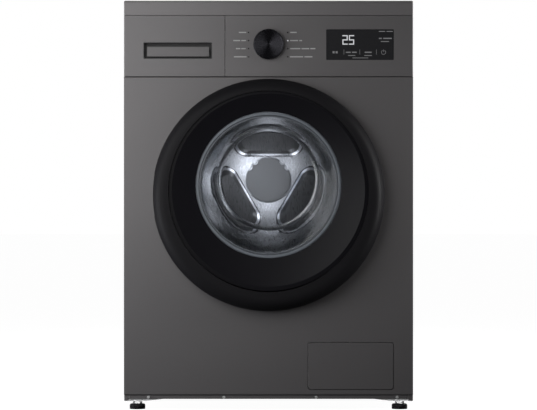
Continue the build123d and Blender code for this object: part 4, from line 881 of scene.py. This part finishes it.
def add_light(name, place, target, size, power, colour=WHITE, spread=WIDE, through=True):
    """A soft rectangular lamp aimed at a point; places are in metres, and through says if glass shows it."""
    data = bpy.data.lights.new(name, "AREA")
    data.shape = "RECTANGLE"
    data.size, data.size_y = size
    data.energy = power
    data.color = colour
    data.spread = math.radians(spread)
    lamp = bpy.data.objects.new(name, data)
    lamp.location = place
    lamp.rotation_euler = (Vector(target) - Vector(place)).to_track_quat("-Z", "Y").to_euler()
    lamp.visible_camera = False
    lamp.visible_transmission = through
    scene.collection.objects.link(lamp)


def add_foot_glows():
    """A low strip of light in front of each front foot."""
    for side, name in ((-1, "left_foot_glow"), (1, "right_foot_glow")):
        place, target = at(side * GLOW_X, *GLOW_PLACE), at(side * GLOW_X, *GLOW_TARGET)
        add_light(name, place, target, GLOW_SIZE, GLOW_POWER, spread=GLOW_SPREAD)


def round_drum(degrees, reach, depth):
    """A point at a direction and a distance from the drum axis."""
    angle = math.radians(degrees)
    return at(reach * math.cos(angle), depth, DRUM_Z + reach * math.sin(angle))


def add_drum_lights():
    """Small lamps in the drum that light its back and the slopes of its petals."""
    for degrees, reach, power in DRUM_LAMPS:
        place = round_drum(degrees, reach, DRUM_LAMP_DEPTH)
        target = round_drum(degrees, reach, DISC_DEPTH)
        add_light(f"drum_lamp_{degrees}", place, target, SMALL_LAMP, power, COOL_WHITE, DRUM_LAMP_SPREAD,
                  through=False)
    for degrees, power in SLOPE_LAMPS:
        place = round_drum(degrees, SLOPE_LAMP_REACH, SLOPE_LAMP_DEPTH)
        target = round_drum(degrees, SLOPE_REACH, PETAL_DEPTH)
        add_light(f"slope_lamp_{degrees}", place, target, SMALL_LAMP, power, COOL_WHITE, SLOPE_LAMP_SPREAD,
                  through=False)


def add_lights():
    """Soft boxes in front, behind and above, low light on the feet and small lamps in the drum."""
    for box in FRONT_BOXES:
        add_light(*box)
    add_foot_glows()
    for box in BACK_BOXES:
        add_light(*box)
    add_drum_lights()


def white_shares(nodes, links):
    """The share of white that the camera sees, and the share that mirrors and glass see."""
    path = nodes.new("ShaderNodeLightPath")
    mirrored = math_node(nodes, links, "MULTIPLY", path.outputs["Is Glossy Ray"], MIRROR_SHARE)
    total = math_node(nodes, links, "ADD", mirrored, path.outputs["Is Transmission Ray"])
    return path.outputs["Is Camera Ray"], total


def add_background():
    """A white background with soft grey room light; mirrors facing the front see a dim room."""
    world = bpy.data.worlds.new("studio")
    scene.world = world
    world.use_nodes = True
    nodes, links = world.node_tree.nodes, world.node_tree.links
    nodes.clear()
    room = nodes.new("ShaderNodeBackground")
    room.inputs["Color"].default_value = (*ROOM, 1.0)
    white = nodes.new("ShaderNodeBackground")
    white.inputs["Color"].default_value = (*WHITE, 1.0)
    camera_ray, mirrored = white_shares(nodes, links)
    to_back = axes(nodes, links, "Generated")["Y"]
    behind = value_range(nodes, links, to_back, low=0.0, high=1.0, start=FADE_START, end=FADE_END)
    share = math_node(nodes, links, "MULTIPLY", mirrored, behind)
    share = math_node(nodes, links, "ADD", camera_ray, share)
    mix = nodes.new("ShaderNodeMixShader")
    output = nodes.new("ShaderNodeOutputWorld")
    links.new(share, mix.inputs["Fac"])
    links.new(room.outputs["Background"], mix.inputs[1])
    links.new(white.outputs["Background"], mix.inputs[2])
    links.new(mix.outputs["Shader"], output.inputs["Surface"])


def pale_floor():
    """A dull grey that glows white for the camera, and behind the machine for mirrors and glass too."""
    material, nodes, links, shader = plain("pale_floor", FLOOR_GREY, 0.9, Specular_IOR_Level=0.1)
    shader.inputs["Emission Color"].default_value = (*WHITE, 1.0)
    camera_ray, mirrored = white_shares(nodes, links)
    behind = math_node(nodes, links, "GREATER_THAN", axes(nodes, links)["Y"], WHITE_FROM)
    share = math_node(nodes, links, "MULTIPLY", mirrored, behind)
    share = math_node(nodes, links, "ADD", camera_ray, share)
    glow = math_node(nodes, links, "MULTIPLY", share, FLOOR_GLOW)
    links.new(glow, shader.inputs["Emission Strength"])
    return material


def add_floor():
    """A floor that looks white and keeps a soft shadow."""
    corners = [(x * FLOOR_REACH, y * FLOOR_REACH, FLOOR_Z) for x, y in ((-1, -1), (1, -1), (1, 1), (-1, 1))]
    floor = add_mesh("floor", corners, [(0, 1, 2, 3)], smooth=False)
    floor.data.materials.append(pale_floor())
    floor.visible_diffuse = False


add_camera()
dress_nodes()
add_gasket()
add_springs()
add_tub_hoses()
add_inlet_hose()
add_drain_hose()
add_glass_rim()
add_drum_cap()
add_labels()
add_console_lamps()
add_display()
add_lights()
add_background()
add_floor()
scene.view_settings.view_transform = "Standard"
